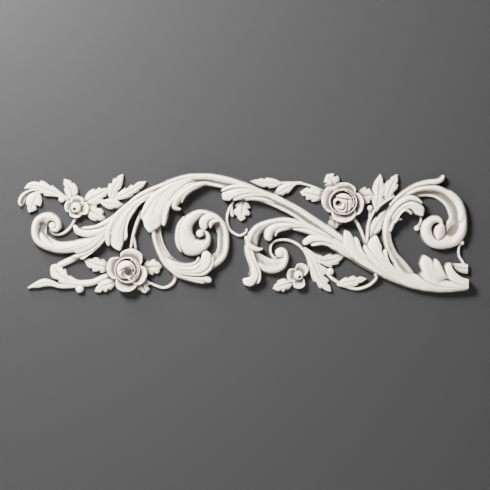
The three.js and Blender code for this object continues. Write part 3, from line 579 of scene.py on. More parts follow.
# Thin leaves of the sprays: spine rows of [u, v], widest half width and the notches in its edges
SPRAY_LEAVES = {
    "far_left": {
        "spine": [[38.2, 191.5], [33.9, 201], [28.8, 212.6]], "half": 7.3,
        "notches": [[26.8, 205.5], [35.3, 205]],
    },
    "top_left": {
        "spine": [[72.6, 203], [70.8, 190], [64, 178.8]], "half": 6.2,
        "notches": [[71.5, 183.5], [65.2, 187]],
    },
    "beside_flower": {
        "spine": [[83, 203], [95, 196.5], [108.6, 188.8]], "half": 7.4,
        "notches": [[95.3, 189.5], [102.5, 197.5], [101.5, 189.3]],
    },
    "upright": {
        "spine": [[110.5, 200], [114.2, 187], [123, 174]], "half": 5.9,
        "notches": [[112, 183.5], [119, 191.5], [116, 178.8]],
    },
    "upper_right": {
        "spine": [[113, 199.5], [130, 191], [146.5, 181.2]], "half": 5.2,
        "notches": [[127, 188], [133.3, 185.8], [140.5, 192], [134, 194.5]],
    },
    "small_right": {
        "spine": [[100, 202], [111, 204], [124, 205]], "half": 5, "notches": [[119.5, 201.5], [114, 208.5]],
    },
    "below_flower": {
        "spine": [[85, 207.4], [94.8, 213.2], [105.2, 219.5]], "half": 7.1,
        "notches": [[96.5, 208], [102, 215.5], [96.5, 221]],
    },
    "rose_left": {
        "spine": [[111, 267.7], [98.2, 265.3], [83.4, 259.8]], "half": 7.0,
        "notches": [[92.5, 257.5], [100.5, 260], [92, 269], [99.5, 271]],
    },
    "rose_lower_left": {
        "spine": [[117, 281.5], [105.5, 285.4], [94.6, 291.8]], "half": 5.9,
        "notches": [[102.5, 290], [109, 290.5], [98, 285.6]],
    },
    "rose_lower_right": {
        "spine": [[137, 279], [143.3, 286.5], [145.2, 293.4]], "half": 6.2,
        "notches": [[139, 290.5], [147.5, 286.5]],
    },
    "rose_right": {
        "spine": [[141, 267], [153, 267], [161.9, 266]], "half": 7.5,
        "notches": [[149.5, 260], [156, 260.5], [160, 271], [154, 274]],
    },
    "hanging": {
        "spine": [[243.8, 198], [242.4, 210], [240.9, 221.2]], "half": 7.8,
        "notches": [[235, 207], [237, 215.5], [244.5, 215.5], [248, 209]],
    },
    "spur_left": {
        "spine": [[282, 183], [268, 183], [250.4, 181.2]], "half": 5,
        "notches": [[265, 179], [267.5, 186.8], [259, 179]],
    },
    "rose_top_left": {
        "spine": [[326, 197], [312.8, 194.3], [300.3, 192]], "half": 6.9,
        "notches": [[310.5, 187.8], [306, 195.8], [311, 200]],
    },
    "rose_top": {
        "spine": [[336, 191], [331.7, 181], [327, 174.2]], "half": 7.8, "notches": [[334, 177], [327, 183]],
    },
    "rose_below": {
        "spine": [[340, 215], [335.4, 222], [335.5, 229]], "half": 7,
        "notches": [[329.5, 218.5], [340, 225.3]],
    },
    "rose_side": {
        "spine": [[356, 196.5], [366, 195.5], [373.8, 195]], "half": 8,
        "notches": [[367, 189], [370.5, 200]],
    },
    "tall": {
        "spine": [[376.4, 212], [378.8, 193], [380.5, 174]], "half": 6.6,
        "notches": [[374.3, 195], [383, 183], [384, 197]],
    },
    "tall_right": {
        "spine": [[386, 200], [391.2, 187], [397.4, 174.2]], "half": 6.1,
        "notches": [[390, 180.2], [398, 183.5], [394.5, 192.5]],
    },
    "between_stems": {
        "spine": [[370.4, 239], [377.4, 225], [386.4, 210.2]], "half": 5.6,
        "notches": [[376.7, 216.7], [383.3, 223]],
    },
    "under_small_flower": {
        "spine": [[294, 282], [283, 285.2], [272.8, 288.8]], "half": 6,
        "notches": [[277, 283.5], [281, 289.8], [286.5, 289.5]],
    },
    "on_tendril": {
        "spine": [[337, 285], [350, 281.8], [366.8, 278.8]], "half": 5.2,
        "notches": [[356.5, 278], [359, 285.7], [348, 277.6]],
    },
}

# Leaves of uneven width: spine rows of [u, v, half width]
BROAD_LEAVES = {
    "big": {
        "spine": [
            [72, 201.5, 1.6], [65, 197.6, 2.2], [57, 193.6, 4.6], [50, 190.6, 6.9], [43, 188.2, 6.6],
            [35, 185.6, 4], [29.5, 185.7, 2.6], [24.3, 188.6, 0.6],
        ],
        "notches": [[38.5, 183], [50, 184.8], [42.5, 194.6], [35, 189]],
    },
    "wrap": {
        "spine": [
            [88, 283.6, 2.2], [77, 282.6, 3.2], [67, 279.4, 6.4], [60, 274.6, 7.8], [55, 269.4, 4.9],
            [53.8, 264.4, 2.8],
        ],
        "notches": [[56.5, 281.6], [63.4, 269.4], [68.4, 275]],
    },
    "spur_lower": {
        "spine": [[303, 183, 1.2], [296, 183.2, 2.2], [289, 186.8, 5], [282, 190.8, 5], [274, 194.6, 0.8]],
        "notches": [[280.5, 194.5], [286.5, 193.6]],
    },
    "crossing": {
        "spine": [
            [304, 247.6, 1.4], [309, 252, 2.8], [315, 257.4, 4.6], [323, 260.7, 6.3], [333, 260, 6.2],
            [345.4, 254.5, 0.6],
        ],
        "notches": [[323, 255.3], [332.5, 254.8], [339.5, 262.2], [333, 265.2], [321.5, 264.6]],
    },
    "downward": {
        "spine": [
            [309.2, 252, 1.6], [311.4, 259, 4], [315.2, 268.6, 6.4], [319.6, 278.2, 6.7], [325, 285, 4.9],
            [331, 291.5, 0.6],
        ],
        "notches": [[315.5, 282.5], [321.3, 288.8], [324.4, 275.6], [327.4, 283.4]],
    },
    "shoot": {
        "spine": [
            [80, 285.4, 1.8], [70, 286.2, 2.2], [60, 286.2, 2.4], [51, 283.4, 3.6], [44, 282.6, 3.8],
            [37, 284.8, 2.8], [27.4, 288, 0.6],
        ],
        "notches": [[34, 287.6]],
    },
    "cut": {
        "spine": [[450.6, 264.2, 1.2], [454.6, 265.9, 3.3], [461, 268.2, 4.9], [474, 269.8, 4.5]],
        "notches": [],
    },
}

# Curled leaf at the far left, hollow inside its rim
CURL_LEAF = [
    [37, 190, 1.2, 0.9], [29, 192, 2.4, 1], [23.2, 196.5, 3.4, 1], [20.9, 202, 3.5, 0.95],
    [21.6, 206.4, 1.8, 0.8],
]

# Round stems and tendrils
TENDRILS = {
    "small_flower_stem": [
        [76.4, 214, 1.8, 1], [71.6, 225.3, 1.8, 1], [63.4, 233, 1.8, 1], [54.4, 234.2, 1.5, 1],
        [48.8, 229.4, 1.2, 1],
    ],
    "spray_stem": [[70, 203, 1.6, 1], [85, 204, 1.6, 1], [100, 202, 1.6, 1], [114, 199.5, 1.4, 1]],
    "rose_stem": [[142, 211, 2.5, 1.9], [136.5, 224, 2.3, 1.9], [132.6, 238, 2, 1.8], [130, 254, 1.7, 1.7]],
    "rose_stem_fork": [[133.4, 235, 1.6, 1.6], [135, 244, 1.6, 1.6], [136.6, 254, 1.5, 1.6]],
    "rose_tendril": [
        [138, 275, 1.6, 1.5], [150, 283, 1.5, 1.2], [163, 287.8, 1.6, 1], [172, 284, 1.9, 1],
        [175.3, 277.6, 1.9, 1], [173, 274.8, 1.8, 1],
    ],
    "lower_branch": [
        [70, 282.6, 3.4, 1.3], [82, 283.5, 3.6, 1.3], [93, 282.2, 3.5, 1.3], [103, 277.5, 3.2, 1.3],
        [114, 273, 2.8, 1.4],
    ],
    "upper_branch": [
        [93, 246.4, 3.4, 1.4], [83, 252.4, 3.5, 1.4], [71, 259.6, 3.6, 1.3], [56, 266.4, 3.4, 1.2],
    ],
    "arch_tendril": [
        [235, 198, 1.8, 1.4], [229.3, 209, 1.6, 1.2], [227, 219, 1.6, 1], [230.2, 230, 1.6, 1],
        [239, 235.5, 1.6, 1], [245.8, 232.5, 1.6, 1], [246.8, 228.4, 1.4, 1],
    ],
    "arch_bud": [[233, 199, 1, 1], [231.8, 208, 1.6, 1], [232.5, 217, 2.6, 1]],
    "scroll_tendril": [
        [281, 256, 1.8, 1.4], [274.5, 257.6, 1.7, 1.2], [270.6, 251.5, 1.6, 1.1], [272.3, 243.5, 1.5, 1],
        [279, 240, 1.5, 1], [289, 240.5, 1.6, 1], [299, 245.3, 1.8, 1], [306.5, 254.5, 1.8, 1.1],
        [309.3, 267, 1.8, 1.1], [305, 275, 1.8, 1.2],
    ],
    "spur_stem": [[277, 183, 1.4, 1], [293, 182.6, 1.4, 1], [309, 185.2, 1.4, 1], [327, 192.5, 1.6, 1.2]],
    "cluster_stem": [
        [395, 196, 1.6, 1.2], [384, 202.5, 1.8, 1.2], [374.5, 211, 1.9, 1.2], [369, 223, 2, 1.3],
        [367.6, 236, 2, 1.5], [366.5, 249, 2, 1.8],
    ],
    "rose_under_stem": [[350, 213, 2, 1.4], [358.5, 225, 2, 1.3], [363.5, 237, 2, 1.4], [367, 247, 2, 1.6]],
    "calyx_stalk": [[370.2, 207, 1.2, 1], [369.4, 219, 1.2, 1]],
    "berry_tendril": [
        [321, 267, 1.8, 1.2], [333, 279, 2, 1.1], [345, 286, 1.8, 1], [357, 289, 1.8, 1],
        [369, 285.4, 1.8, 1.2],
        [376.2, 278.6, 1.8, 1.9], [375.2, 273.6, 1.9, 2.7],
    ],
    "berry_stalk": [[319, 265, 1.4, 1.2], [331, 272, 1.4, 1.1]],
    "scroll_stalk": [[421, 212, 1.5, 1.4], [420.8, 222, 1.4, 1.2], [416.3, 228.4, 1.5, 1]],
    "end_tendril": [
        [463.4, 240, 1.8, 1.3], [459.4, 247, 1.6, 1.1], [459.5, 255.5, 1.6, 1], [463, 261.8, 1.6, 1],
        [467, 268, 1.6, 1.2],
    ],
    "leaf_link": [[61.5, 199.5, 1.4, 1], [70, 200.5, 1.4, 1]],
    "lower_berry_stalk": [[79.5, 282, 1.4, 1], [79.5, 290, 1.4, 1]],
}

# Berries and buds: [u, v, radius, share]
BERRIES = [
    [61.5, 199.5, 3.1, 1], [79.5, 289, 4.3, 1], [330.5, 271.5, 3.6, 1], [370, 208, 3, 0.95],
    [417, 228.2, 2.9, 0.95], [462.3, 242.8, 2.2, 1],
]


# Flowers. A petal is [base, rim, widest half width, share of the relief]; a wall is [first radius, last
# radius, first angle, last angle, half width, share], clockwise from the right; the bud is
# [u, v, radius], its hollows are [u, v, half width, half height, depth share] and its folds are
# [depth share, half width, points]
ROSE_A = {
    "centre": [127.4, 270],
    "relief": ROSE_RELIEF,
    "petals": [
        [[126.5, 271], [126.2, 291.8], 10.6, 0.6],
        [[124.5, 268], [107, 267.8], 11, 0.62],
        [[129.2, 269.5], [133.2, 249.2], 11.4, 0.6],
        [[128, 270], [146, 278.8], 9.8, 0.66],
    ],
    "walls": [
        [12.4, 11.7, 60, 195, 0.85, 0.78],
        [11.8, 12.5, 180, 305, 0.9, 0.84],
        [12.6, 12.1, 285, 440, 0.85, 0.8],
        [10.9, 10.6, 290, 420, 0.55, 0.88],
    ],
    "bud": [126.3, 269.8, 9.2],
    "hollows": [[128.9, 272, 5.6, 5, 0.56], [130.4, 273, 2.8, 2.8, 0.16]],
    "folds": [
        [0.24, 0.7, [119.4, 272], [122.6, 269.4], [126.8, 267.4], [131.6, 266.4]],
        [0.3, 0.8, [123.4, 270.6], [122.8, 273.6], [124.4, 276.4], [128.4, 278]],
        [0.3, 0.7, [121, 275.6], [125, 278.4], [130.4, 278.6], [134, 275]],
        [0.3, 0.7, [130.6, 263.6], [133.2, 266.6], [134, 270.4], [133.4, 274]],
    ],
}
ROSE_B = {
    "centre": [342.6, 202.2],
    "relief": ROSE_RELIEF,
    "petals": [
        [[341, 200], [321.6, 198.6], 13, 0.62],
        [[343.5, 200], [346, 182.8], 11.4, 0.62],
        [[345, 203], [363.6, 205.4], 11.2, 0.6],
        [[343, 204], [344.2, 222.4], 12.2, 0.64],
    ],
    "walls": [
        [11.7, 13.1, 95, 190, 0.85, 0.78],
        [13.2, 12.2, 175, 280, 0.9, 0.84],
        [12.7, 13.6, 262, 370, 0.9, 0.82],
        [13.7, 11.7, 355, 455, 0.85, 0.78],
        [11.3, 10.9, 280, 390, 0.5, 0.86],
    ],
    "bud": [342.8, 203.2, 9.6],
    "hollows": [[338.4, 203.8, 3.8, 3, 0.42], [337.6, 202, 1.5, 1.6, 0.24]],
    "folds": [
        [0.34, 0.8, [335, 200.6], [336, 197.6], [341, 198.6], [346, 199.4], [350.8, 199.8]],
        [0.32, 0.8, [346.4, 199.6], [347.6, 203.4], [347.2, 208], [346, 212.4]],
        [0.34, 0.8, [336, 208.2], [339.8, 210], [343.4, 209.4], [345, 206], [343.6, 203]],
    ],
}
SMALL_FLOWER_A = {
    "centre": [76.2, 207.3],
    "relief": FLOWER_RELIEF,
    "petals": [
        [[76.4, 208], [77.9, 195.9], 6.4, 0.66],
        [[76.4, 207.4], [64.5, 205.8], 5.8, 0.62],
        [[76, 207], [74.9, 217.9], 6.2, 0.66],
        [[76, 207.6], [88.9, 209.2], 6.2, 0.7],
    ],
    "walls": [[5, 4.4, 110, 330, 0.5, 0.96]],
    "bud": [76.2, 207.4, 4.9],
    "hollows": [[74.8, 209, 1.9, 1.6, 0.5]],
    "folds": [[0.16, 0.4, [73.6, 206.2], [76.4, 206.6], [78.4, 208.4], [78, 210.6]]],
}
SMALL_FLOWER_B = {
    "centre": [298.4, 275.4],
    "relief": FLOWER_RELIEF,
    "petals": [
        [[298, 276], [304.6, 264.3], 6.5, 0.66],
        [[299, 275.2], [287, 275], 6.7, 0.62],
        [[298.4, 275], [299.4, 288.6], 6, 0.66],
    ],
    "walls": [],
    "bud": [298.4, 275.2, 4.5],
    "hollows": [[299.8, 277, 1.4, 1.4, 0.5]],
    "folds": [[0.14, 0.4, [296.4, 275.4], [298.6, 274.4], [301, 275.4]]],
}


# Lines cut into the fused carving: depth, counted in CREASE_DEPTH, half width in pixels, then the points
CREASES = [
    [5, 2.4, [40.4, 236.4], [41, 231.6], [43.6, 227.2], [47.6, 224.4]],
    [4.2, 1.8, [213, 222.4], [215.6, 227.2], [216.2, 234], [215.4, 240.6]],
    [5.0, 3.2, [458.6, 223.4], [456.4, 228.4], [452.6, 232], [448.4, 233.6]],
    [4.5, 2.4, [266, 229.6], [261.2, 235], [259.6, 240.4], [260.4, 246.4]],
    [4.5, 1.4, [204, 235.4], [205.2, 238], [204.2, 240.8]],
    [
        1.5, 0.55, [206, 176], [195, 176.5], [185, 178.3], [176, 181], [168, 184.2], [160, 188.2],
        [152, 192.8], [144, 199],
    ],
    [
        1.3, 0.55, [210, 179.4], [196, 180.6], [187, 183.6], [180, 188.4], [174, 194], [170.4, 199.6],
        [168.6, 206],
    ],
    [0.9, 0.6, [170, 187.5], [161, 197], [155.6, 207], [152.8, 217]],
    [1.4, 0.55, [262, 187.6], [250, 183.4], [236, 180.2], [222, 177.2], [210, 175.6]],
    [
        1.6, 0.6, [262, 196.6], [275, 200.6], [285, 205.4], [297, 212.2], [310, 220.4], [322, 228],
        [334, 235], [343, 240.6],
    ],
    [
        1.2, 0.5, [266, 194.2], [276, 198.4], [287, 203.4], [299, 210], [312, 218], [324, 225.8],
        [336, 233.4],
    ],
    [1.2, 0.5, [100, 231], [108, 224.6], [118, 215], [127, 206.4], [136, 199.4], [150, 191]],
    [1.2, 0.5, [119.6, 243], [119.6, 235], [121.6, 227], [125.4, 218.6], [131, 210.4], [139, 202.6]],
    [1.0, 0.45, [114, 243], [114.4, 233], [118, 222.6], [124, 213.6], [132, 205.6]],
    [1.0, 0.45, [84, 247.6], [92, 242.6], [101, 234.6], [110, 224.6]],
    [
        1.3, 0.55, [411, 193.9], [420, 191.2], [430, 190.4], [438, 191.9], [446, 196], [452, 201.6],
        [455.6, 207.6], [457, 214],
    ],
    [1.6, 0.55, [455.2, 220.6], [459, 222.2], [462.2, 221.2], [464.8, 218.4]],
    [3.4, 0.9, [438.6, 222.6], [435, 225.4], [433.2, 229.6], [433.4, 234.6], [436.2, 239.4]],
    [1.1, 0.5, [390, 222], [393.6, 212.6], [400, 205], [408, 201.6], [414, 202.4]],
    [1.1, 0.5, [392.6, 222], [397.6, 213.6], [403.4, 208], [410, 206.4], [416, 209.8]],
    [1.2, 0.5, [172, 265.4], [180, 269.2], [190, 270.8], [197, 268.6], [201.4, 263.6], [203.6, 258]],
    [1.4, 0.55, [164, 262.4], [172, 270.2], [180, 274.6], [190, 276.4], [200, 276.2], [207, 274.8]],
    [1.6, 0.6, [209, 269], [211.6, 265], [214.2, 259.8]],
    [1.4, 0.5, [196, 243.8], [200, 244.6], [204, 243.2], [207, 239.4]],
    [
        1.2, 0.5, [287, 228.2], [295, 227.4], [303, 228.6], [310, 230.2], [318, 232.8], [327, 236.8],
        [335, 241.2], [342, 246],
    ],
    [1.1, 0.5, [262, 268.2], [270, 269.2], [278, 267.2], [284.6, 262.4]],
    [1.8, 0.6, [272.6, 233], [272.4, 236], [273, 238.6]],
    [1.2, 0.5, [362.6, 251.6], [368, 259.6], [376, 266.4]],
    [1.8, 0.7, [387.6, 253], [388.2, 259], [389.2, 265.4]],
    [1.2, 0.5, [421.6, 276], [425.4, 280], [430.4, 283.4], [437, 285.8], [448, 287.6], [460, 288]],
    [1.2, 0.5, [443.6, 271], [447, 277], [453, 282], [462, 285.4], [474, 286.6]],
    [1.2, 0.5, [47, 249.8], [56, 250.4], [66, 249.4], [76, 246.6], [88, 241.8]],
    [1.4, 0.5, [51, 217.4], [54.2, 220], [53.6, 224], [51.4, 225.8]],
    [1.0, 0.5, [158, 228], [160.4, 239], [164.6, 249.6], [171.6, 258.4], [181, 263.4]],
    [1.0, 0.45, [249.6, 250], [252.6, 260], [256.4, 268], [256.6, 276]],
]


class Section(Enum):
    """Cross-sections of a carved band, as height shares from its left side to its right side."""

    BROAD = (0.42, 0.7, 0.87, 0.97, 1.0, 0.97, 0.87, 0.7, 0.42)
    ROUND = (0.4, 0.74, 0.93, 1.0, 0.93, 0.74, 0.4)
    CORD = (0.3, 0.74, 0.94, 1.0, 0.94, 0.74, 0.3)
    LOBE = (0.54, 0.8, 0.96, 1.0, 0.96, 0.8, 0.54)
    LEAF = (0.7, 0.9, 1.0, 0.94, 1.0, 0.9, 0.7)
    RIM_LEFT = (0.5, 0.88, 1.0, 0.93, 0.62, 0.36, 0.26, 0.26, 0.36, 0.3)
    RIM_RIGHT = (0.3, 0.36, 0.26, 0.26, 0.36, 0.62, 0.93, 1.0, 0.88, 0.5)
    STEM = (0.46, 0.8, 0.7, 0.5, 0.6, 0.84, 0.97, 1.0, 0.86, 0.5)
    FLUTED = (0.46, 0.74, 0.88, 0.95, 0.99, 1.0, 0.99, 0.96, 0.9, 0.76, 0.48)

    def heights(self, side: np.ndarray) -> np.ndarray:
        """Reads the section with a smooth curve through its shares.

        Args:
            side: places across the band, -1 at its left edge and 1 at its right.

        Returns:
            The height share at each place.
        """
        knots = np.array(self.value)
        return smooth_curve(knots[:, None], (side + 1.0) / 2.0)[:, 0]


def smooth_curve(knots: np.ndarray, place: np.ndarray) -> np.ndarray:
    """Evaluates a uniform Catmull-Rom curve.

    Args:
        knots: control values, one row each.
        place: places along the curve, 0 at the first knot and 1 at the last.

    Returns:
        One row of values for each place.
    """
    padded = np.vstack([2 * knots[0] - knots[1], knots, 2 * knots[-1] - knots[-2]])
    spot = np.clip(place, 0.0, 1.0) * (len(knots) - 1)
    index = np.minimum(spot.astype(int), len(knots) - 2)
    part = (spot - index)[:, None]
    before, start, end, after = (padded[index + k] for k in range(4))
    tangent_in = (end - before) / 2
    tangent_out = (after - start) / 2
    return (
        (2 * part**3 - 3 * part**2 + 1) * start
        + (part**3 - 2 * part**2 + part) * tangent_in
        + (-2 * part**3 + 3 * part**2) * end
        + (part**3 - part**2) * tangent_out
    )


def run_length(points: np.ndarray) -> float:
    """Length of the line through rows of u and v."""
    return float(np.linalg.norm(np.diff(points, axis=0), axis=1).sum())


def ease(share: np.ndarray) -> np.ndarray:
    """Smooth step from 0 to 1."""
    share = np.clip(share, 0.0, 1.0)
    return share * share * (3 - 2 * share)


@dataclass(frozen=True)
class Drawing:
    """The front view and its real scale."""

    metres_per_pixel: float

    def place(self, u: np.ndarray, v: np.ndarray, relief: np.ndarray) -> np.ndarray:
        """Brings points of the front view to their real place.

        Args:
            u: pixels to the right.
            v: pixels down.
            relief: metres off the wall.

        Returns:
            One row of x, y, z in metres for each point.
        """
        x = (u - ORIGIN_U) * self.metres_per_pixel
        z = (ORIGIN_V - v) * self.metres_per_pixel
        return np.stack([x, -relief, z], axis=1)


DRAWING = Drawing(metres_per_pixel=CAD_BOX[1][0] / (SQUARE_END_U - ORIGIN_U))


def box_shell(across: int, along: int) -> tuple[bmesh.types.BMesh, np.ndarray, np.ndarray, np.ndarray]:
    """Makes the closed slab that every carved form is shaped from.

    Args:
        across: steps from side to side.
        along: steps from end to end.

    Returns:
        The slab, and for each of its vertices the side (-1 to 1), the place along (0 to 1) and whether
        it is on the front.
    """
    bm = bmesh.new()
    bmesh.ops.create_grid(bm, x_segments=across, y_segments=along, size=1.0)
    raised = bmesh.ops.extrude_face_region(bm, geom=bm.faces[:])
    tops = [item for item in raised["geom"] if isinstance(item, bmesh.types.BMVert)]
    bmesh.ops.translate(bm, verts=tops, vec=(0.0, 0.0, 1.0))
    rows = np.array([vert.co[:] for vert in bm.verts])
    return bm, rows[:, 0], (rows[:, 1] + 1) / 2, rows[:, 2] > 0.5


def shaped(
    bm: bmesh.types.BMesh, front: np.ndarray, u: np.ndarray, v: np.ndarray, relief: np.ndarray
) -> bmesh.types.BMesh:
    """Moves the vertices of a slab to their real places and points its faces outwards.

    Args:
        bm: the slab.
        front: whether each vertex is on the front. The others go a little behind the wall plane.
        u: pixels to the right of each vertex.
        v: pixels down of each vertex.
        relief: metres off the wall of each vertex, if it is on the front.

    Returns:
        The slab, now a closed shell of the carved form.
    """
    for vert, place in zip(bm.verts, DRAWING.place(u, v, np.where(front, relief, -OVERRUN))):
        vert.co = place
    bmesh.ops.recalc_face_normals(bm, faces=bm.faces[:])
    return bm


@dataclass
class Band:
    """A carved band along a path of [u, v, half width, height share] points."""

    path: Rows
    section: Section
    relief: float
    across: int = ACROSS_STEPS
    crown: Section = Section.BROAD
    round_end: bool = True
    end_reach: float = 1.4
    least_reach: float = 0.8
    end_drop: float = 0.22
    end_bluntness: float = 0.02

    def length(self) -> float:
        """Length of the path in pixels."""
        return run_length(np.array([row[:2] for row in self.path], dtype=float))

    def spine(self, place: np.ndarray) -> tuple[np.ndarray, np.ndarray]:
        """Middle line of the band.

        Args:
            place: places along the band, 0 to 1.

        Returns:
            The points of the middle line and the unit direction at each.
        """
        points = np.array([row[:2] for row in self.path], dtype=float)
        step = 1e-3
        here = smooth_curve(points, place)
        ahead = smooth_curve(points, np.minimum(place + step, 1.0))
        behind = smooth_curve(points, np.maximum(place - step, 0.0))
        direction = ahead - behind
        direction /= np.linalg.norm(direction, axis=1)[:, None] + 1e-12
        return here, direction

    def sizes(self, place: np.ndarray) -> tuple[np.ndarray, np.ndarray]:
        """Width and height of the band, with its last end rounded off where that is chosen.

        Args:
            place: places along the band, 0 to 1.

        Returns:
            Half width in pixels and height share at each place.
        """
        rows = np.array([[row[2], row[3]] for row in self.path], dtype=float)
        values = smooth_curve(rows, place)
        half, share = np.maximum(values[:, 0], LEAST_HALF_WIDTH), values[:, 1]
        if self.round_end:
            reach = max(self.path[-1][2] * self.end_reach, self.least_reach)
            left = np.clip(1 - (1 - place) * self.length() / reach, 0.0, 1.0)
            half = half * np.sqrt(np.maximum(1 - left**2, self.end_bluntness))
            share = share * (1 - self.end_drop * left**2)
        return half, share

    def heights(self, side: np.ndarray, place: np.ndarray, share: np.ndarray) -> np.ndarray:
        """Height off the wall in metres at each place of the front.

        Args:
            side: places across the band, -1 to 1.
            place: places along the band, 0 to 1.
            share: height share of the middle line there.

        Returns:
            The heights. Where the path gives a fifth value, the section counts by it and the plain
            crown by the rest.
        """
        shape = self.section.heights(side)
        if len(self.path[0]) > 4:
            mix = smooth_curve(np.array([[row[4]] for row in self.path], dtype=float), place)[:, 0]
            mix = np.clip(mix, 0.0, 1.0)
            shape = mix * shape + (1 - mix) * self.crown.heights(side)
        return shape * share * self.relief

    def shell(self) -> bmesh.types.BMesh:
        """Builds the band.

        Returns:
            The band as a closed shell.
        """
        along = max(int(self.length() / STATION_PIXELS), LEAST_STATIONS)
        bm, side, place, front = box_shell(self.across, along)
        spine, direction = self.spine(place)
        half, share = self.sizes(place)
        u = spine[:, 0] - direction[:, 1] * side * half
        v = spine[:, 1] + direction[:, 0] * side * half
        return shaped(bm, front, u, v, self.heights(side, place, share))


def bead(u: float, v: float, radius: float, relief: float) -> bmesh.types.BMesh:
    """Makes a ball seated on the wall.

    Args:
        u: middle of the ball in the front view.
        v: middle of the ball in the front view.
        radius: radius in pixels.
        relief: metres from the wall to its top.

    Returns:
        The ball as a closed shell.
    """
    size = radius * DRAWING.metres_per_pixel
    depth = min(size, relief)
    centre = DRAWING.place(np.array([u]), np.array([v]), np.array([relief - depth]))[0]
    bm = bmesh.new()
    bmesh.ops.create_uvsphere(bm, u_segments=BALL_SEGMENTS, v_segments=BALL_RINGS, radius=1.0)
    bmesh.ops.scale(bm, verts=bm.verts[:], vec=(size, depth, size))
    bmesh.ops.translate(bm, verts=bm.verts[:], vec=Vector(centre))
    return bm


def rounded(distance: np.ndarray, reach: float, drop: float) -> np.ndarray:
    """Height factor of an edge that is rounded over.

    Args:
        distance: pixels from the edge.
        reach: width of the rounding in pixels.
        drop: share of the height lost at the edge.

    Returns:
        A factor of 1 away from the edge.
    """
    inside = np.clip(1 - distance / reach, 0.0, 1.0)
    return 1 - drop * (1 - np.sqrt(np.maximum(1 - inside**2, 0.0)))


@dataclass
class Fan:
    """A carved leaf spread over ribs, with rounded crests between sunk valleys."""

    ribs: list
    relief: float
    rise: list[float]
    valley: float = 0.6
    side: float = 0.74
    root: float = 0.3
    deepening: float = 1.2
    level_bend: float = 0.8
    cover_bend: float = 0.55
    tip_reach: float = 2.2
    tip_drop: float = 0.42
    least_gap: float = 0.4
    station: float = 0.9
    steps_a_rib: int = 6
    samples: int = 40

    def drawn_rib(self, index: int) -> tuple[np.ndarray, float]:
        """Lays out one rib and its run past a notch.

        Args:
            index: which rib.

        Returns:
            Evenly spaced points of the rib, drawn out to the line of the tips, and the share of
            them that the leaf covers.
        """
        kind, *points = self.ribs[index]
        points = np.array(points, dtype=float)
        cover = 1.0
        if kind is Rib.VALLEY:
            tips = (np.array(self.ribs[index - 1][-1]) + np.array(self.ribs[index + 1][-1])) / 2
            inner = run_length(points)
            outer = max(np.linalg.norm(tips - points[-1]), self.least_gap)
            points = np.vstack([points, tips])
            cover = inner / (inner + outer)
        run = np.concatenate([[0.0], np.cumsum(np.linalg.norm(np.diff(points, axis=0), axis=1))])
        knots = np.linspace(0.0, 1.0, len(points))
        place = np.interp(np.linspace(0.0, run[-1], self.samples), run, knots)
        return smooth_curve(points, place), cover

    def column(self, across: float, net: np.ndarray, covers: list) -> tuple[np.ndarray, float, float]:
        """One flow line of the leaf.

        Args:
            across: place across the leaf, 0 at its first rib and 1 at its last.
            net: the laid out ribs.
            covers: the share of each rib that the leaf covers.

        Returns:
            The points of the line, the share of it covered, and its height level.
        """
        last = len(self.ribs) - 1
        spot = across * last
        low = min(int(spot), last - 1)
        between = spot - low
        flat = net.reshape(len(self.ribs), -1)
        line = smooth_curve(flat, np.array([across]))[0].reshape(-1, 2)
        kinds = {Rib.SIDE: self.side, Rib.VALLEY: self.valley, Rib.CREST: 1.0}
        levels = [kinds[self.ribs[low + k][0]] for k in (0, 1)]
        rising = levels[1] >= levels[0]
        turn = between if rising else 1 - between
        start, end = (0, 1) if rising else (1, 0)
        bulge = math.sin(math.pi / 2 * turn)
        level = levels[start] + (levels[end] - levels[start]) * bulge**self.level_bend
        cover = covers[low + start] + (covers[low + end] - covers[low + start]) * bulge**self.cover_bend
        return line, cover, level

    def shell(self) -> bmesh.types.BMesh:
        """Builds the leaf.

        Returns:
            The leaf as a closed shell.
        """
        laid = [self.drawn_rib(index) for index in range(len(self.ribs))]
        net = np.array([points for points, _ in laid])
        covers = [cover for _, cover in laid]
        length = run_length(net[len(net) // 2])
        ribs_across = self.steps_a_rib * (len(self.ribs) - 1)
        bm, side, place, front = box_shell(ribs_across, int(length / self.station))
        across = (side + 1) / 2
        u, v, relief = (np.zeros(len(across)) for _ in range(3))
        steps = np.linspace(0.0, 1.0, self.samples)
        for value in np.unique(across):
            line, cover, level = self.column(float(value), net, covers)
            mine = across == value
            run = place[mine] * cover
            u[mine] = np.interp(run, steps, line[:, 0])
            v[mine] = np.interp(run, steps, line[:, 1])
            reach = run_length(line) * cover
            depth = 1 - (1 - level) * (self.root + (1 - self.root) * place[mine] ** self.deepening)
            height = smooth_curve(np.array(self.rise)[:, None], place[mine])[:, 0] * depth
            edge = rounded((1 - place[mine]) * reach, self.tip_reach, self.tip_drop)
            relief[mine] = height * edge * self.relief
        return shaped(bm, front, u, v, relief)


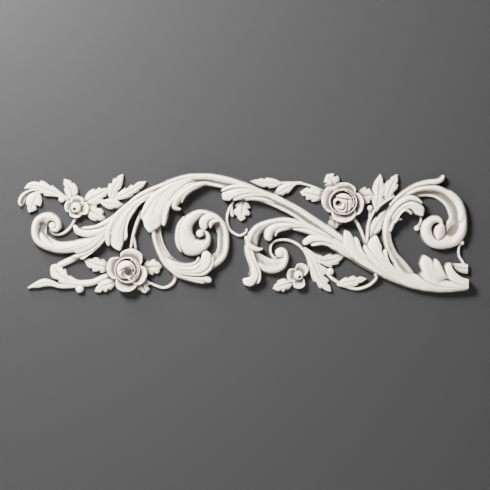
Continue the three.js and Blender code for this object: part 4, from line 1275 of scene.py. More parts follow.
@dataclass
class SprayLeaf(Band):
    """A thin leaf with single notches in its edges, a sunk middle vein and side veins."""

    section: Section = Section.LEAF
    relief: float = LEAF_RELIEF
    across: int = FINE_ACROSS_STEPS
    round_end: bool = False
    notches: Rows = field(default_factory=list)
    sweep: float = 0.08
    stations: int = 15
    fullness: float = 1.06
    widest: float = 0.42
    base_bend: float = 0.7
    tip_bend: float = 1.9
    tip_fullness: float = 0.95
    least_half: float = 0.35
    notch_search: int = 200
    notch_deepening: float = 0.08
    notch_least: float = 0.34
    notch_most: float = 0.7
    tooth_run: float = 0.17
    tooth_bend: float = 0.85
    tooth_width: float = 1.03
    tooth_back: float = 0.026
    tooth_point: float = 1.1
    vein_depth: float = 0.24
    vein_width: float = 0.09
    vein_fade: float = 5.0
    side_vein_depth: float = 0.15
    side_vein_width: float = 0.024
    side_vein_fade: float = 2.5
    side_vein_slant: float = 0.2
    foot: float = 0.74
    dome: float = 0.3
    dome_run: float = 1.02
    dome_bend: float = 0.8
    station: float = 0.36
    least_stations: int = 30

    @classmethod
    def even(cls, spine: Rows, half: float, notches: Rows) -> SprayLeaf:
        """Makes a leaf of even shape from its base, bend and tip.

        Args:
            spine: u and v of the base, the bend and the tip.
            half: its widest half width in pixels.
            notches: u and v of each notch.

        Returns:
            The leaf.
        """
        points = np.array(spine, dtype=float)
        path = []
        for place in np.linspace(0.0, 1.0, cls.stations):
            u, v = smooth_curve(points, np.array([place]))[0]
            past = max((place - cls.widest) / (1 - cls.widest), 0.0)
            swell = math.sin(math.pi / 2 * min(place / cls.widest, 1.0)) ** cls.base_bend
            body = swell * max(1 - past**cls.tip_bend, 0.0) ** cls.tip_fullness
            path.append([u, v, max(cls.fullness * half * body, cls.least_half), 1.0])
        return cls(path=path, notches=notches)

    @classmethod
    def uneven(cls, spine: Rows, notches: Rows) -> SprayLeaf:
        """Makes a leaf whose spine rows carry their own half widths."""
        return cls(path=[[u, v, half, 1.0] for u, v, half in spine], notches=notches)

    def placed_notches(self) -> list[tuple[float, float, float]]:
        """Finds where each notch lies.

        Returns:
            For each notch its place along the leaf, its side and the share of the width it leaves.
        """
        along = np.linspace(0.02, 0.98, self.notch_search)
        spine, direction = self.spine(along)
        half, _ = self.sizes(along)
        found = []
        for notch in self.notches:
            gap = np.array(notch, dtype=float) - spine
            distance = np.linalg.norm(gap, axis=1)
            index = int(np.argmin(distance))
            side = gap[index] @ np.array([-direction[index, 1], direction[index, 0]])
            left = distance[index] / half[index] - self.notch_deepening
            left = float(np.clip(left, self.notch_least, self.notch_most))
            place = along[index] - self.sweep * math.sin(math.pi * along[index])
            found.append((place, 1.0 if side > 0 else -1.0, left))
        return found

    def toothed(self, place: np.ndarray, side: np.ndarray, notches: list) -> np.ndarray:
        """Cuts the teeth, which point to the tip.

        Args:
            place: places along the leaf, 0 to 1.
            side: places across the leaf, -1 to 1.
            notches: the placed notches.

        Returns:
            The share of the width kept at each place.
        """
        kept = np.ones_like(place)
        for spot, edge, left in notches:
            ahead = place - spot
            growing = np.clip(ahead / self.tooth_run, 0.0, 1.0) ** self.tooth_bend
            after = left + (self.tooth_width - left) * growing
            closing = np.clip(1 + ahead / self.tooth_back, 0.0, 1.0)
            before = self.tooth_point - (self.tooth_point - left) * closing
            tooth = np.where(ahead > 0, after, before)
            kept = np.where(side * edge > 0, np.minimum(kept, tooth), kept)
        return kept

    def veins(self, place: np.ndarray, side: np.ndarray, notches: list) -> np.ndarray:
        """Sinks the middle vein and a side vein to each notch.

        Args:
            place: places along the leaf, 0 to 1.
            side: places across the leaf, -1 to 1.
            notches: the placed notches.

        Returns:
            The depth at each place, as a share of the relief.
        """
        depth = self.vein_depth * np.exp(-((side / self.vein_width) ** 2)) * ease((1 - place) * self.vein_fade)
        for spot, edge, _ in notches:
            line = np.abs(place - (spot - self.side_vein_slant * (1 - np.abs(side))))
            reach = ease(np.abs(side) * self.side_vein_fade)
            vein = self.side_vein_depth * np.exp(-((line / self.side_vein_width) ** 2)) * reach
            depth = np.where(side * edge > 0, depth + vein, depth)
        return depth

    def shell(self) -> bmesh.types.BMesh:
        """Builds the leaf, its sides swept forward towards the tip.

        Returns:
            The leaf as a closed shell.
        """
        along = max(int(self.length() / self.station), self.least_stations)
        bm, side, place, front = box_shell(self.across, along)
        notches = self.placed_notches()
        forward = np.clip(place + self.sweep * np.abs(side) * np.sin(np.pi * place), 0, 1)
        spine, direction = self.spine(forward)
        half, share = self.sizes(place)
        half = half * self.toothed(place, side, notches)
        u = spine[:, 0] - direction[:, 1] * side * half
        v = spine[:, 1] + direction[:, 0] * side * half
        swell = np.sin(np.pi * np.clip(place * self.dome_run, 0, 1)) ** self.dome_bend
        dome = self.foot + self.dome * swell
        height = self.section.heights(side) * share * dome - self.veins(place, side, notches)
        return shaped(bm, front, u, v, height * self.relief)


@dataclass
class CuppedPetal:
    """A round petal from its base to its rim, hollow in its middle, with a rim that rolls over."""

    base: list[float]
    rim: list[float]
    half: float
    relief: float
    low: float = 0.5
    waviness: float = 0.03
    waves: float = 7.0
    wave_slant: float = 2.0
    rim_waviness: float = 0.02
    rim_waves: float = 5.0
    base_width: float = 0.62
    rim_roundness: float = 0.82
    rim_bend: float = 2.4
    least_widest: float = 0.35
    least_width: float = 0.03
    side_rise: float = 3.5
    rim_rise: float = 1.7
    roll: float = 0.16
    roll_start: float = 0.9
    roll_width: float = 0.1
    across: int = 28
    station: float = 0.45
    least_stations: int = 18

    def outline(self, place: np.ndarray, side: np.ndarray, length: float) -> np.ndarray:
        """Shape of the petal's edge.

        Args:
            place: places from base to rim, 0 to 1.
            side: places across the petal, -1 to 1.
            length: pixels from base to rim.

        Returns:
            The share of the half width at each place.
        """
        widest = max(1 - self.half / length * self.rim_roundness, self.least_widest)
        past = np.clip((place - widest) / (1 - widest), 0, 1)
        before = np.clip(place / widest, 0, 1)
        swell = self.base_width + (1 - self.base_width) * np.sin(np.pi / 2 * before)
        body = np.where(place > widest, np.sqrt(np.maximum(1 - past**self.rim_bend, 0.0)), swell)
        body = body * (1 + self.waviness * np.cos(self.waves * past + self.wave_slant * side))
        return np.maximum(body, self.least_width)

    def shell(self) -> bmesh.types.BMesh:
        """Builds the petal.

        Returns:
            The petal as a closed shell.
        """
        base, rim = np.array(self.base, dtype=float), np.array(self.rim, dtype=float)
        length = float(np.linalg.norm(rim - base))
        direction = (rim - base) / length
        stations = max(int(length / self.station), self.least_stations)
        bm, side, place, front = box_shell(self.across, stations)
        across = side * self.half * self.outline(place, side, length)
        along = place * length * (1 - self.rim_waviness * np.cos(self.rim_waves * side))
        u = base[0] + direction[0] * along - direction[1] * across
        v = base[1] + direction[1] * along + direction[0] * across
        edge = 1 - (1 - np.abs(side) ** self.side_rise) * (1 - np.clip(place, 0, 1) ** self.rim_rise)
        cup = self.low + (1 - self.low) * edge
        roll = 1 - self.roll * np.clip((edge - self.roll_start) / self.roll_width, 0, 1) ** 2
        return shaped(bm, front, u, v, cup * roll * self.relief)


@dataclass
class Bud:
    """A rounded heart of a flower, with hollows and petal folds cut into its front."""

    centre: list[float]
    radius: float
    relief: float
    foot: float = 0.64
    roundness: float = 0.9
    steps: int = 44
    hollows: Rows = field(default_factory=list)
    folds: list = field(default_factory=list)

    def shell(self) -> bmesh.types.BMesh:
        """Builds the bud.

        Returns:
            The bud as a closed shell.
        """
        bm, x, place, front = box_shell(self.steps, self.steps)
        y = place * 2 - 1
        disc_x = x * np.sqrt(np.maximum(1 - y * y / 2, 0))
        disc_y = y * np.sqrt(np.maximum(1 - x * x / 2, 0))
        distance = np.sqrt(disc_x**2 + disc_y**2)
        u = self.centre[0] + disc_x * self.radius
        v = self.centre[1] + disc_y * self.radius
        dome = np.sqrt(np.maximum(1 - distance**2, 0.0)) ** self.roundness
        height = self.foot + (1 - self.foot) * dome
        for hollow_u, hollow_v, wide, tall, depth in self.hollows:
            away = ((u - hollow_u) / wide) ** 2 + ((v - hollow_v) / tall) ** 2
            height -= depth * np.exp(-(away**2))
        for depth, width, *points in self.folds:
            height -= depth * groove(u, v, np.array(points, dtype=float), width)
        return shaped(bm, front, u, v, height * self.relief)


def groove(u: np.ndarray, v: np.ndarray, points: np.ndarray, width: float) -> np.ndarray:
    """Cross-section of a line cut along points of the front view.

    Args:
        u: pixels to the right, for each place that is asked.
        v: pixels down, for each place that is asked.
        points: rows of u and v along the line.
        width: half width of the line in pixels.

    Returns:
        1 on the line, falling to 0 beside it and towards its ends.
    """
    steps = max(int(run_length(points) / GROOVE_STATION), LEAST_GROOVE_STATIONS)
    along = np.linspace(0.0, 1.0, steps)
    line = smooth_curve(points, along)
    cut = np.zeros_like(u)
    reach = GROOVE_REACH * width
    near = (u > line[:, 0].min() - reach) & (u < line[:, 0].max() + reach)
    near &= (v > line[:, 1].min() - reach) & (v < line[:, 1].max() + reach)
    spots = np.flatnonzero(near)
    if len(spots) == 0:
        return cut
    best = np.full(len(spots), np.inf)
    fade = np.zeros(len(spots))
    for start, end, place in zip(line, line[1:], along):
        step = end - start
        share = ((u[spots] - start[0]) * step[0] + (v[spots] - start[1]) * step[1]) / (step @ step)
        share = np.clip(share, 0.0, 1.0)
        gap = np.hypot(u[spots] - start[0] - share * step[0], v[spots] - start[1] - share * step[1])
        closer = gap < best
        best = np.where(closer, gap, best)
        fade = np.where(closer, math.sin(math.pi * min(max(place, 0.02), 0.98)) ** 0.5, fade)
    cut[spots] = np.exp(-((best / width) ** 2)) * fade
    return cut


def beads(rows: Rows, relief: float) -> list[bmesh.types.BMesh]:
    """Makes one ball for each row of u, v, radius and share of the relief."""
    return [bead(u, v, radius, share * relief) for u, v, radius, share in rows]


def bands(strokes: dict[str, Rows], section: Section, relief: float) -> list[Band]:
    """Makes one band for each named stroke, all with one section and one relief."""
    return [Band(path=path, section=section, relief=relief) for path in strokes.values()]


@dataclass
class Volute:
    """A scroll: a lead of path points, then rings round a centre."""

    lead: Rows
    centre: list[float]
    start: float
    turn: float
    rings: Rows

    def path(self) -> Rows:
        """Draws the scroll.

        Returns:
            The lead and the rings as one path of [u, v, half width, share, section] points.
        """
        count = len(self.rings) - 1
        points = list(self.lead)
        for index, (radius, *rest) in enumerate(self.rings):
            angle = math.radians(self.start + self.turn * index / count)
            u = self.centre[0] + radius * math.cos(angle)
            v = self.centre[1] + radius * math.sin(angle)
            points.append([u, v, *rest])
        return points

    def band(self, section: Section) -> Band:
        """The whole scroll as a carved band."""
        return Band(self.path(), section, SCROLL_RELIEF, across=FINE_ACROSS_STEPS)


@dataclass
class Stems:
    """The main stem, the fluted base and the crest strip."""

    main: Rows = field(default_factory=lambda: MAIN_STEM)
    base: Rows = field(default_factory=lambda: BASE_BODY)
    crest: Rows = field(default_factory=lambda: CREST_STRIP)

    def shells(self) -> list[bmesh.types.BMesh]:
        """Builds the stems.

        Returns:
            The closed shell of each.
        """
        parts = [
            Band(path=self.main, section=Section.STEM, relief=CARVING_RELIEF, across=FINE_ACROSS_STEPS),
            Band(path=self.base, section=Section.FLUTED, relief=CARVING_RELIEF, across=FLUTED_ACROSS_STEPS),
            Band(path=self.crest, section=Section.ROUND, relief=SCROLL_RELIEF),
        ]
        return [part.shell() for part in parts]


@dataclass
class Scrolls:
    """The four scrolls, their eyes and the leaf lobes that grow on them."""

    left: Volute = field(default_factory=lambda: Volute(**LEFT_SCROLL))
    centre: Volute = field(default_factory=lambda: Volute(**CENTRE_SCROLL))
    back_turned: Volute = field(default_factory=lambda: Volute(**RETURN_SCROLL))
    right: Volute = field(default_factory=lambda: Volute(**RIGHT_SCROLL))
    lobes: dict[str, Rows] = field(default_factory=lambda: SCROLL_LOBES)
    eyes: Rows = field(default_factory=lambda: SCROLL_EYES)

    def shells(self) -> list[bmesh.types.BMesh]:
        """Builds the scrolls, their lobes and their eyes.

        Returns:
            The closed shell of each.
        """
        parts = [
            self.left.band(Section.RIM_LEFT),
            self.centre.band(Section.RIM_RIGHT),
            self.back_turned.band(Section.RIM_RIGHT),
            self.right.band(Section.RIM_LEFT),
            *bands(self.lobes, Section.LOBE, SCROLL_RELIEF),
        ]
        return [part.shell() for part in parts] + beads(self.eyes, SCROLL_RELIEF)


@dataclass
class Foliage:
    """The acanthus leaf, the dropped leaf, and the leaves on the arch, the scrolls and the base."""

    leaves: dict[str, dict] = field(default_factory=lambda: FANS)
    lobes: dict[str, Rows] = field(default_factory=lambda: LEAF_LOBES)

    def shells(self) -> list[bmesh.types.BMesh]:
        """Builds every carved leaf and lobe.

        Returns:
            The closed shell of each.
        """
        fans = [Fan(**sizes) for sizes in self.leaves.values()]
        return [part.shell() for part in [*fans, *bands(self.lobes, Section.LOBE, CARVING_RELIEF)]]


@dataclass
class Sprays:
    """The flower sprays: notched leaves, tendrils and berries."""

    leaves: dict[str, dict] = field(default_factory=lambda: SPRAY_LEAVES)
    broad_leaves: dict[str, dict] = field(default_factory=lambda: BROAD_LEAVES)
    curl_leaf: Rows = field(default_factory=lambda: CURL_LEAF)
    tendrils: dict[str, Rows] = field(default_factory=lambda: TENDRILS)
    berries: Rows = field(default_factory=lambda: BERRIES)

    def shells(self) -> list[bmesh.types.BMesh]:
        """Builds the leaves, tendrils and berries.

        Returns:
            The closed shell of each.
        """
        parts = [SprayLeaf.even(**leaf) for leaf in self.leaves.values()]
        parts += [SprayLeaf.uneven(**leaf) for leaf in self.broad_leaves.values()]
        parts += [Band(self.curl_leaf, Section.RIM_RIGHT, LEAF_RELIEF, across=FINE_ACROSS_STEPS)]
        parts += bands(self.tendrils, Section.CORD, TENDRIL_RELIEF)
        return [part.shell() for part in parts] + beads(self.berries, BERRY_RELIEF)


@dataclass
class Flower:
    """A rose or a small flower: cupped petals, standing walls and a folded bud."""

    centre: list[float]
    relief: float
    petals: list
    walls: Rows
    bud: list[float]
    hollows: Rows
    folds: list
    wall_stations: int = 20

    def wall(self, first: float, last: float, start: float, end: float, half: float, share: float) -> Band:
        """Draws a thin standing wall along an arc round the centre.

        Args:
            first: radius at its start in pixels.
            last: radius at its end in pixels.
            start: angle of its start in degrees.
            end: angle of its end in degrees.
            half: half its thickness in pixels.
            share: share of the flower's relief that it stands to.

        Returns:
            The wall.
        """
        path = []
        for turn in np.linspace(0.0, 1.0, self.wall_stations):
            angle = math.radians(start + (end - start) * turn)
            radius = first + (last - first) * turn
            u = self.centre[0] + radius * math.cos(angle)
            v = self.centre[1] + radius * math.sin(angle)
            path.append([u, v, half, share])
        return Band(path=path, section=Section.ROUND, relief=self.relief)

    def shells(self) -> list[bmesh.types.BMesh]:
        """Builds the petals, the walls and the bud.

        Returns:
            The closed shell of each.
        """
        petals = [CuppedPetal(base, rim, half, self.relief * share) for base, rim, half, share in self.petals]
        walls = [self.wall(*sizes) for sizes in self.walls]
        u, v, radius = self.bud
        bud = Bud(centre=[u, v], radius=radius, relief=self.relief, hollows=self.hollows, folds=self.folds)
        return [part.shell() for part in [*petals, *walls, bud]]


class Shade:
    """A shader socket that reads as a number in Python expressions."""

    def __init__(self, graph: ShaderGraph, socket: bpy.types.NodeSocket) -> None:
        """Wraps the output socket of a node of the graph."""
        self.graph = graph
        self.socket = socket

    def _math(self, operation: str, first: Shade | float, second: Shade | float) -> Shade:
        """Adds a Math node for two operands, given in order."""
        return self.graph.node("ShaderNodeMath", {"operation": operation}, {0: first, 1: second})

    def __add__(self, other: Shade | float) -> Shade:
        """Sum."""
        return self._math("ADD", self, other)

    __radd__ = __add__

    def __sub__(self, other: Shade | float) -> Shade:
        """Difference."""
        return self._math("SUBTRACT", self, other)

    def __rsub__(self, other: Shade | float) -> Shade:
        """Difference with the socket second."""
        return self._math("SUBTRACT", other, self)

    def __mul__(self, other: Shade | float) -> Shade:
        """Product."""
        return self._math("MULTIPLY", self, other)

    __rmul__ = __mul__

    def clamped(self) -> Shade:
        """The value held between 0 and 1."""
        return self.graph.node("ShaderNodeClamp", {}, {"Value": self}, "Result")


class ShaderGraph:
    """The nodes of one new material."""

    def __init__(self, name: str) -> None:
        """Starts the material of that name with no nodes."""
        self.material = bpy.data.materials.new(name)
        self.material.use_nodes = True
        self.tree = self.material.node_tree
        self.tree.nodes.clear()

    def node(self, kind: str, settings: dict, sockets: dict, output: int | str | None = 0) -> Shade | None:
        """Adds a node.

        Args:
            kind: the node's type name.
            settings: attributes of the node, such as a Math node's operation, which are set first.
            sockets: value or link of each input socket, by name or number.
            output: the output socket that is handed back, or None for a node that has none.

        Returns:
            The chosen output, wrapped for expressions.
        """
        made = self.tree.nodes.new(kind)
        for name, value in settings.items():
            setattr(made, name, value)
        for name, value in sockets.items():
            if isinstance(value, Shade):
                self.tree.links.new(value.socket, made.inputs[name])
            else:
                made.inputs[name].default_value = value
        return None if output is None else Shade(self, made.outputs[output])

    def surfaced(self, surface: Shade) -> bpy.types.Material:
        """Finishes the material with its surface shader."""
        self.node("ShaderNodeOutputMaterial", {}, {"Surface": surface}, None)
        return self.material


@dataclass(frozen=True)
class Tone:
    """How strongly the paint answers to a value: what is taken off it after its gain, and its share."""

    gain: float
    start: float
    share: float

    def of(self, value: Shade) -> Shade:
        """The answer, from 0 to the share."""
        return (value * self.gain - self.start).clamped() * self.share


@dataclass(frozen=True)
class CastPaint:
    """Matt, warm off-white primer over a cast moulding, with painted shade in its hollows and a painted
    highlight on its ridges.
    """

    colour: tuple = (0.77, 0.7, 0.575, 1.0)
    # Painted highlight: ridges are lightened towards this colour.
    ridge_highlight_colour: tuple = (1.0, 0.95, 0.84, 1.0)
    # Painted shade: crevices and hollows are darkened towards this colour.
    painted_shade_colour: tuple = (0.13, 0.115, 0.1, 1.0)
    cloud_colour: tuple = (0.80, 0.765, 0.71, 1.0)
    roughness: float = 0.6
    cloud_roughness: float = 0.12
    hollow_roughness: float = 0.15
    specular: float = 0.4
    grain_scale: float = 900.0
    grain_detail: float = 3.0
    grain_strength: float = 0.25
    grain_depth: float = 0.0003
    cloud_scale: float = 14.0
    cloud_detail: float = 4.0
    cloud_start: float = 0.42
    cloud_share: float = 0.6
    # Painted shade in the crevices and hollows, and a painted highlight on the ridges
    crevice_shade_tone: Tone = Tone(gain=2.8, start=0.05, share=0.6)
    hollow_shade_tone: Tone = Tone(gain=2.5, start=0.02, share=0.55)
    ridge_highlight_tone: Tone = Tone(gain=-2.2, start=0.12, share=0.8)

    def mixed(self, factor: Shade, first: Shade | tuple, second: tuple) -> Shade:
        """Mixes two colours.

        Args:
            factor: share of the second colour, 0 to 1.
            first: the colour at 0.
            second: the colour at 1.

        Returns:
            The mixed colour.
        """
        settings = {"data_type": "RGBA", "clamp_factor": True}
        return factor.graph.node("ShaderNodeMix", settings, {0: factor, 6: first, 7: second}, 2)

    def noise(self, graph: ShaderGraph, place: Shade, scale: float, detail: float) -> Shade:
        """Adds an even noise of the casting's own places.

        Args:
            graph: the material's graph.
            place: the place on the casting.
            scale: how fine the noise is.
            detail: how many finer layers it has.

        Returns:
            The noise, about 0.5.
        """
        sockets = {"Vector": place, "Scale": scale, "Detail": detail}
        return graph.node("ShaderNodeTexNoise", {}, sockets, "Fac")

    def material(self) -> bpy.types.Material:
        """Builds the paint: light clouding, painted shade in hollows, a painted highlight on ridges and a fine
        cast grain.

        Returns:
            The material.
        """
        graph = ShaderGraph("cast_paint")
        place = graph.node("ShaderNodeTexCoord", {}, {}, "Object")
        crevice = graph.node("ShaderNodeAttribute", {"attribute_name": "crevice"}, {}, "Fac")
        hollow = graph.node("ShaderNodeAttribute", {"attribute_name": "hollow"}, {}, "Fac")
        cloud = self.noise(graph, place, self.cloud_scale, self.cloud_detail)
        grain = self.noise(graph, place, self.grain_scale, self.grain_detail)
        # Painted shade: crevices and hollows are darkened by how deep they lie among the carving round them.
        shade = self.crevice_shade_tone.of(crevice) + self.hollow_shade_tone.of(hollow)
        # Painted highlight: ridges that stand above the carving round them are lightened.
        highlighted = self.mixed(self.ridge_highlight_tone.of(crevice), self.colour, self.ridge_highlight_colour)
        clouding = (cloud - self.cloud_start).clamped() * self.cloud_share
        clouded = self.mixed(clouding, highlighted, self.cloud_colour)
        bump_sockets = {"Strength": self.grain_strength, "Distance": self.grain_depth, "Height": grain}
        roughness = self.roughness + self.cloud_roughness * (cloud - 0.5) + self.hollow_roughness * shade
        sockets = {
            "Base Color": self.mixed(shade, clouded, self.painted_shade_colour),
            "Roughness": roughness,
            "Normal": graph.node("ShaderNodeBump", {}, bump_sockets, "Normal"),
            "Specular IOR Level": self.specular,
        }
        return graph.surfaced(graph.node("ShaderNodeBsdfPrincipled", {}, sockets, "BSDF"))


def placed(name: str, data: bpy.types.ID) -> bpy.types.Object:
    """Adds an object with the given mesh, light or camera to the scene.

    Args:
        name: the object's name.
        data: its mesh, light or camera.

    Returns:
        The object.
    """
    made = bpy.data.objects.new(name, data)
    bpy.context.scene.collection.objects.link(made)
    return made


def meshed(name: str, bm: bmesh.types.BMesh) -> bpy.types.Object:
    """Turns a finished form into an object of the scene.

    Args:
        name: the object's name.
        bm: the form, which is freed.

    Returns:
        The object.
    """
    mesh = bpy.data.meshes.new(name)
    bm.to_mesh(mesh)
    bm.free()
    return placed(name, mesh)


def vertex_places(mesh: bpy.types.Mesh) -> np.ndarray:
    """Reads the vertices of a mesh.

    Args:
        mesh: the mesh.

    Returns:
        One row of x, y, z in metres for each vertex.
    """
    places = np.empty(len(mesh.vertices) * 3)
    mesh.vertices.foreach_get("co", places)
    return places.reshape(-1, 3)


def blurred(field_rows: np.ndarray, reach: float) -> np.ndarray:
    """Spreads a grid of values evenly.

    Args:
        field_rows: the grid.
        reach: standard distance of the spread, in cells.

    Returns:
        The grid, each value averaged with those round it.
    """
    steps = np.arange(-int(3 * reach), int(3 * reach) + 1)
    weights = np.exp(-0.5 * (steps / reach) ** 2)
    weights /= weights.sum()
    spread = np.apply_along_axis(np.convolve, 1, field_rows, weights, mode="same")
    return np.apply_along_axis(np.convolve, 0, spread, weights, mode="same")


@dataclass
class Moulding:
    """The whole casting: every shell fused into one skin, cut flat behind and square at its end."""

    paint: CastPaint = field(default_factory=CastPaint)

    def shells(self) -> list[bmesh.types.BMesh]:
        """Builds every carved form.

        Returns:
            The closed shell of each.
        """
        made: list[bmesh.types.BMesh] = []
        flowers = [Flower(**sizes) for sizes in (ROSE_A, ROSE_B, SMALL_FLOWER_A, SMALL_FLOWER_B)]
        groups = [Stems(), Scrolls(), Foliage(), Sprays(), *flowers]
        for group in groups:
            shells = group.shells()
            log.info("%s: %d forms", type(group).__name__, len(shells))
            made += shells
        return made

    def gathered(self) -> bpy.types.Object:
        """Puts the shells in one object, still as separate closed bodies.

        Returns:
            The object.
        """
        whole = bmesh.new()
        for shell in self.shells():
            scratch = bpy.data.meshes.new("form")
            shell.to_mesh(scratch)
            shell.free()
            whole.from_mesh(scratch)
            bpy.data.meshes.remove(scratch)
        return meshed("carved_moulding", whole)

    def trim_block(self) -> bpy.types.Object:
        """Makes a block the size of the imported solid, a hair inside it.

        Returns:
            The block, whose faces are the flat back and the square end.
        """
        low, high = (np.array(corner) for corner in CAD_BOX)
        low, high = low + TRIM_MARGIN, high - TRIM_MARGIN
        high[1] = CAD_BOX[1][1]
        bm = bmesh.new()
        bmesh.ops.create_cube(bm, size=1.0)
        bmesh.ops.scale(bm, verts=bm.verts[:], vec=high - low)
        bmesh.ops.translate(bm, verts=bm.verts[:], vec=(low + high) / 2)
        return meshed("trim_block", bm)

    def apply_modifiers(self, piece: bpy.types.Object) -> None:
        """Bakes live modifiers into the mesh.

        Args:
            piece: the object that has them.
        """
        view = bpy.context.evaluated_depsgraph_get()
        old = piece.data
        piece.data = bpy.data.meshes.new_from_object(piece.evaluated_get(view))
        piece.modifiers.clear()
        bpy.data.meshes.remove(old)

    def fuse(self, piece: bpy.types.Object) -> None:
        """Fuses the shells into one soft-edged skin, cuts its creases and trims it flush.

        Args:
            piece: the object that holds the shells.
        """
        remesh = piece.modifiers.new("fuse", "REMESH")
        remesh.mode = "VOXEL"
        remesh.voxel_size = VOXEL
        smooth = piece.modifiers.new("soften", "SMOOTH")
        smooth.factor = SMOOTH_FACTOR
        smooth.iterations = SMOOTH_PASSES
        self.apply_modifiers(piece)
        self.cut_creases(piece.data)
        block = self.trim_block()
        trim = piece.modifiers.new("trim", "BOOLEAN")
        trim.operation = "INTERSECT"
        trim.solver = "MANIFOLD"
        trim.object = block
        self.apply_modifiers(piece)
        bpy.data.objects.remove(block)
        log.info("fused skin: %d faces", len(piece.data.polygons))

    def cut_creases(self, mesh: bpy.types.Mesh) -> None:
        """Sinks the drawn lines into the front of the skin.

        Args:
            mesh: the skin.
        """
        places = vertex_places(mesh)
        normals = np.empty(places.size, dtype=np.float32)
        mesh.vertex_normals.foreach_get("vector", normals)
        facing = np.clip(-normals.reshape(-1, 3)[:, 1], 0.0, 1.0)
        u = places[:, 0] / DRAWING.metres_per_pixel + ORIGIN_U
        v = ORIGIN_V - places[:, 2] / DRAWING.metres_per_pixel
        sink = np.zeros(len(places))
        for depth, width, *points in CREASES:
            cut = depth * CREASE_DEPTH * groove(u, v, np.array(points, dtype=float), width)
            sink = np.maximum(sink, cut)
        lowest = np.maximum(places[:, 1], -LEAST_RELIEF)
        places[:, 1] = np.minimum(places[:, 1] + sink * facing, lowest)
        mesh.vertices.foreach_set("co", places.ravel())
        mesh.update()

    def thin_out(self, piece: bpy.types.Object) -> None:
        """Brings the skin under its triangle budget, keeping the curved parts fine.

        Args:
            piece: the object that has the skin.
        """
        triangles = sum(len(face.vertices) - 2 for face in piece.data.polygons)
        if triangles > TRIANGLE_BUDGET:
            thin = piece.modifiers.new("thin", "DECIMATE")
            thin.ratio = TRIANGLE_BUDGET / triangles
            self.apply_modifiers(piece)
        log.info("skin: %d faces", len(piece.data.polygons))

    def mark_hollows(self, piece: bpy.types.Object) -> None:
        """Stores how deep each vertex lies among the carving round it, for the painted shade and highlight.

        Args:
            piece: the object that has the skin.
        """
        places = vertex_places(piece.data)
        column = (places[:, 0] - CAD_BOX[0][0]) / HOLLOW_CELL + HOLLOW_MARGIN
        row = (places[:, 2] - CAD_BOX[0][2]) / HOLLOW_CELL + HOLLOW_MARGIN
        column, row = column.astype(int), row.astype(int)
        relief = np.zeros((row.max() + HOLLOW_MARGIN, column.max() + HOLLOW_MARGIN))
        np.maximum.at(relief, (row, column), -places[:, 1])
        carved = (relief > 0.0).astype(float)
        for name, reach in HOLLOW_REACHES.items():
            cells = reach / HOLLOW_CELL
            around = blurred(relief, cells) / np.maximum(blurred(carved, cells), 1e-6)
            fade = np.clip(-places[:, 1] / HOLLOW_FADE, 0.0, 1.0)
            depth = (around[row, column] + places[:, 1]) / reach * fade
            layer = piece.data.attributes.new(name, "FLOAT", "POINT")
            layer.data.foreach_set("value", depth)

    def build(self) -> bpy.types.Object:
        """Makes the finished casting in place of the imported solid.

        Returns:
            The casting.
        """
        piece = self.gathered()
        self.fuse(piece)
        self.thin_out(piece)
        piece.data.shade_smooth()
        piece.data.set_sharp_from_angle(angle=math.radians(SHARP_DEGREES))
        self.mark_hollows(piece)
        piece.data.materials.clear()
        piece.data.materials.append(self.paint.material())
        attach(piece, "root")
        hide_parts(NODE)
        return piece


@dataclass(frozen=True)
class StageMatt:
    """A plain matt finish of the stage, clear when seen from behind where that is chosen."""

    name: str
    colour: tuple
    clear_behind: bool
    roughness: float = 0.9

    def material(self) -> bpy.types.Material:
        """Builds the finish.

        Returns:
            The material.
        """
        graph = ShaderGraph(self.name)
        sockets = {"Base Color": self.colour, "Roughness": self.roughness}
        surface = graph.node("ShaderNodeBsdfPrincipled", {}, sockets, "BSDF")
        if self.clear_behind:
            behind = graph.node("ShaderNodeNewGeometry", {}, {}, "Backfacing")
            clear = graph.node("ShaderNodeBsdfTransparent", {}, {}, "BSDF")
            surface = graph.node("ShaderNodeMixShader", {}, {0: behind, 1: surface, 2: clear}, "Shader")
        return graph.surfaced(surface)


@dataclass(frozen=True)
class Lamp:
    """A soft square lamp aimed at a point, its sizes in metres and its power in watts."""

    name: str
    place: tuple
    target: tuple
    size: float
    power: float
    colour: tuple

    def build(self) -> None:
        """Hangs the lamp in the scene."""
        light = bpy.data.lights.new(self.name, "AREA")
        light.energy = self.power
        light.size = self.size
        light.color = self.colour
        lamp = placed(self.name, light)
        lamp.location = self.place
        aim = Vector(self.target) - Vector(self.place)
        lamp.rotation_euler = aim.to_track_quat("-Z", "Y").to_euler()


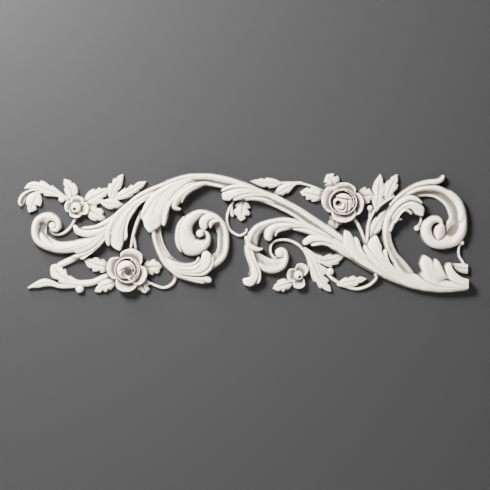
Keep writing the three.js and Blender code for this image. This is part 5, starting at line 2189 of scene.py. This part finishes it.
@dataclass
class Studio:
    """The wall behind the moulding, the pale floor, the lamps and the camera."""

    camera_distance: float = 3.4
    sensor: float = 36.0
    frame_pixels: float = 490.0
    wall_size: float = 3.0
    wall_gap: float = 0.0006
    floor_size: float = 4.0
    floor_drop: float = 0.9
    wall: StageMatt = StageMatt("stage_wall", (0.0165, 0.0172, 0.0195, 1.0), True)
    floor: StageMatt = StageMatt("stage_floor", (0.75, 0.74, 0.72, 1.0), False)
    lamps: tuple[Lamp, ...] = (
        Lamp("key", (-0.95, -1.42, 1.08), (0.0, 0.0, -0.05), 0.6, 200.0, (1.0, 0.975, 0.93)),
        Lamp("rake", (-0.66, -0.3, 0.6), (-0.42, 0.0, 0.34), 0.3, 14.0, (1.0, 0.985, 0.955)),
        Lamp("fill", (0.6, -3.0, 0.8), (0.0, 0.0, -0.05), 2.4, 6.0, (0.97, 0.98, 1.0)),
        Lamp("rear", (0.8, 2.2, 1.2), (0.0, 0.0, 0.0), 1.6, 60.0, (1.0, 1.0, 1.0)),
    )

    def sheet(self, name: str, size: float, matrix: Matrix, finish: StageMatt) -> bpy.types.Object:
        """Sets up a flat square sheet of the stage.

        Args:
            name: the sheet's name.
            size: half its width in metres.
            matrix: turns and moves the sheet from the floor at the origin to its place.
            finish: its finish.

        Returns:
            The sheet.
        """
        bm = bmesh.new()
        bmesh.ops.create_grid(bm, x_segments=1, y_segments=1, size=size)
        bmesh.ops.transform(bm, matrix=matrix, verts=bm.verts[:])
        sheet = meshed(name, bm)
        sheet.data.materials.append(finish.material())
        return sheet

    def camera(self) -> None:
        """A long lens square to the wall that frames the casting as in the front view."""
        scale = DRAWING.metres_per_pixel
        middle = self.frame_pixels / 2
        data = bpy.data.cameras.new("camera")
        data.sensor_width = self.sensor
        data.lens = self.sensor * self.camera_distance / (self.frame_pixels * scale)
        eye = placed("camera", data)
        eye.location = (
            (middle - ORIGIN_U) * scale,
            -self.camera_distance - CARVING_RELIEF / 2,
            (ORIGIN_V - middle) * scale,
        )
        eye.rotation_euler = (math.radians(90), 0.0, 0.0)
        bpy.context.scene.camera = eye

    def build(self) -> None:
        """Sets the stage."""
        upright = Matrix.Translation((0.0, self.wall_gap, 0.0)) @ Matrix.Rotation(math.radians(90), 4, "X")
        self.sheet("backdrop", self.wall_size, upright, self.wall).visible_shadow = False
        self.sheet("floor", self.floor_size, Matrix.Translation((0.0, 0.0, -self.floor_drop)), self.floor)
        for lamp in self.lamps:
            lamp.build()
        self.camera()


def main() -> None:
    """Builds the stage and the casting."""
    logging.basicConfig(level=logging.INFO, format="%(name)s: %(message)s")
    Studio().build()
    log.info("stage set")
    Moulding().build()
    log.info("casting finished")
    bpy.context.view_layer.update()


if __name__ == "__main__":
    main()
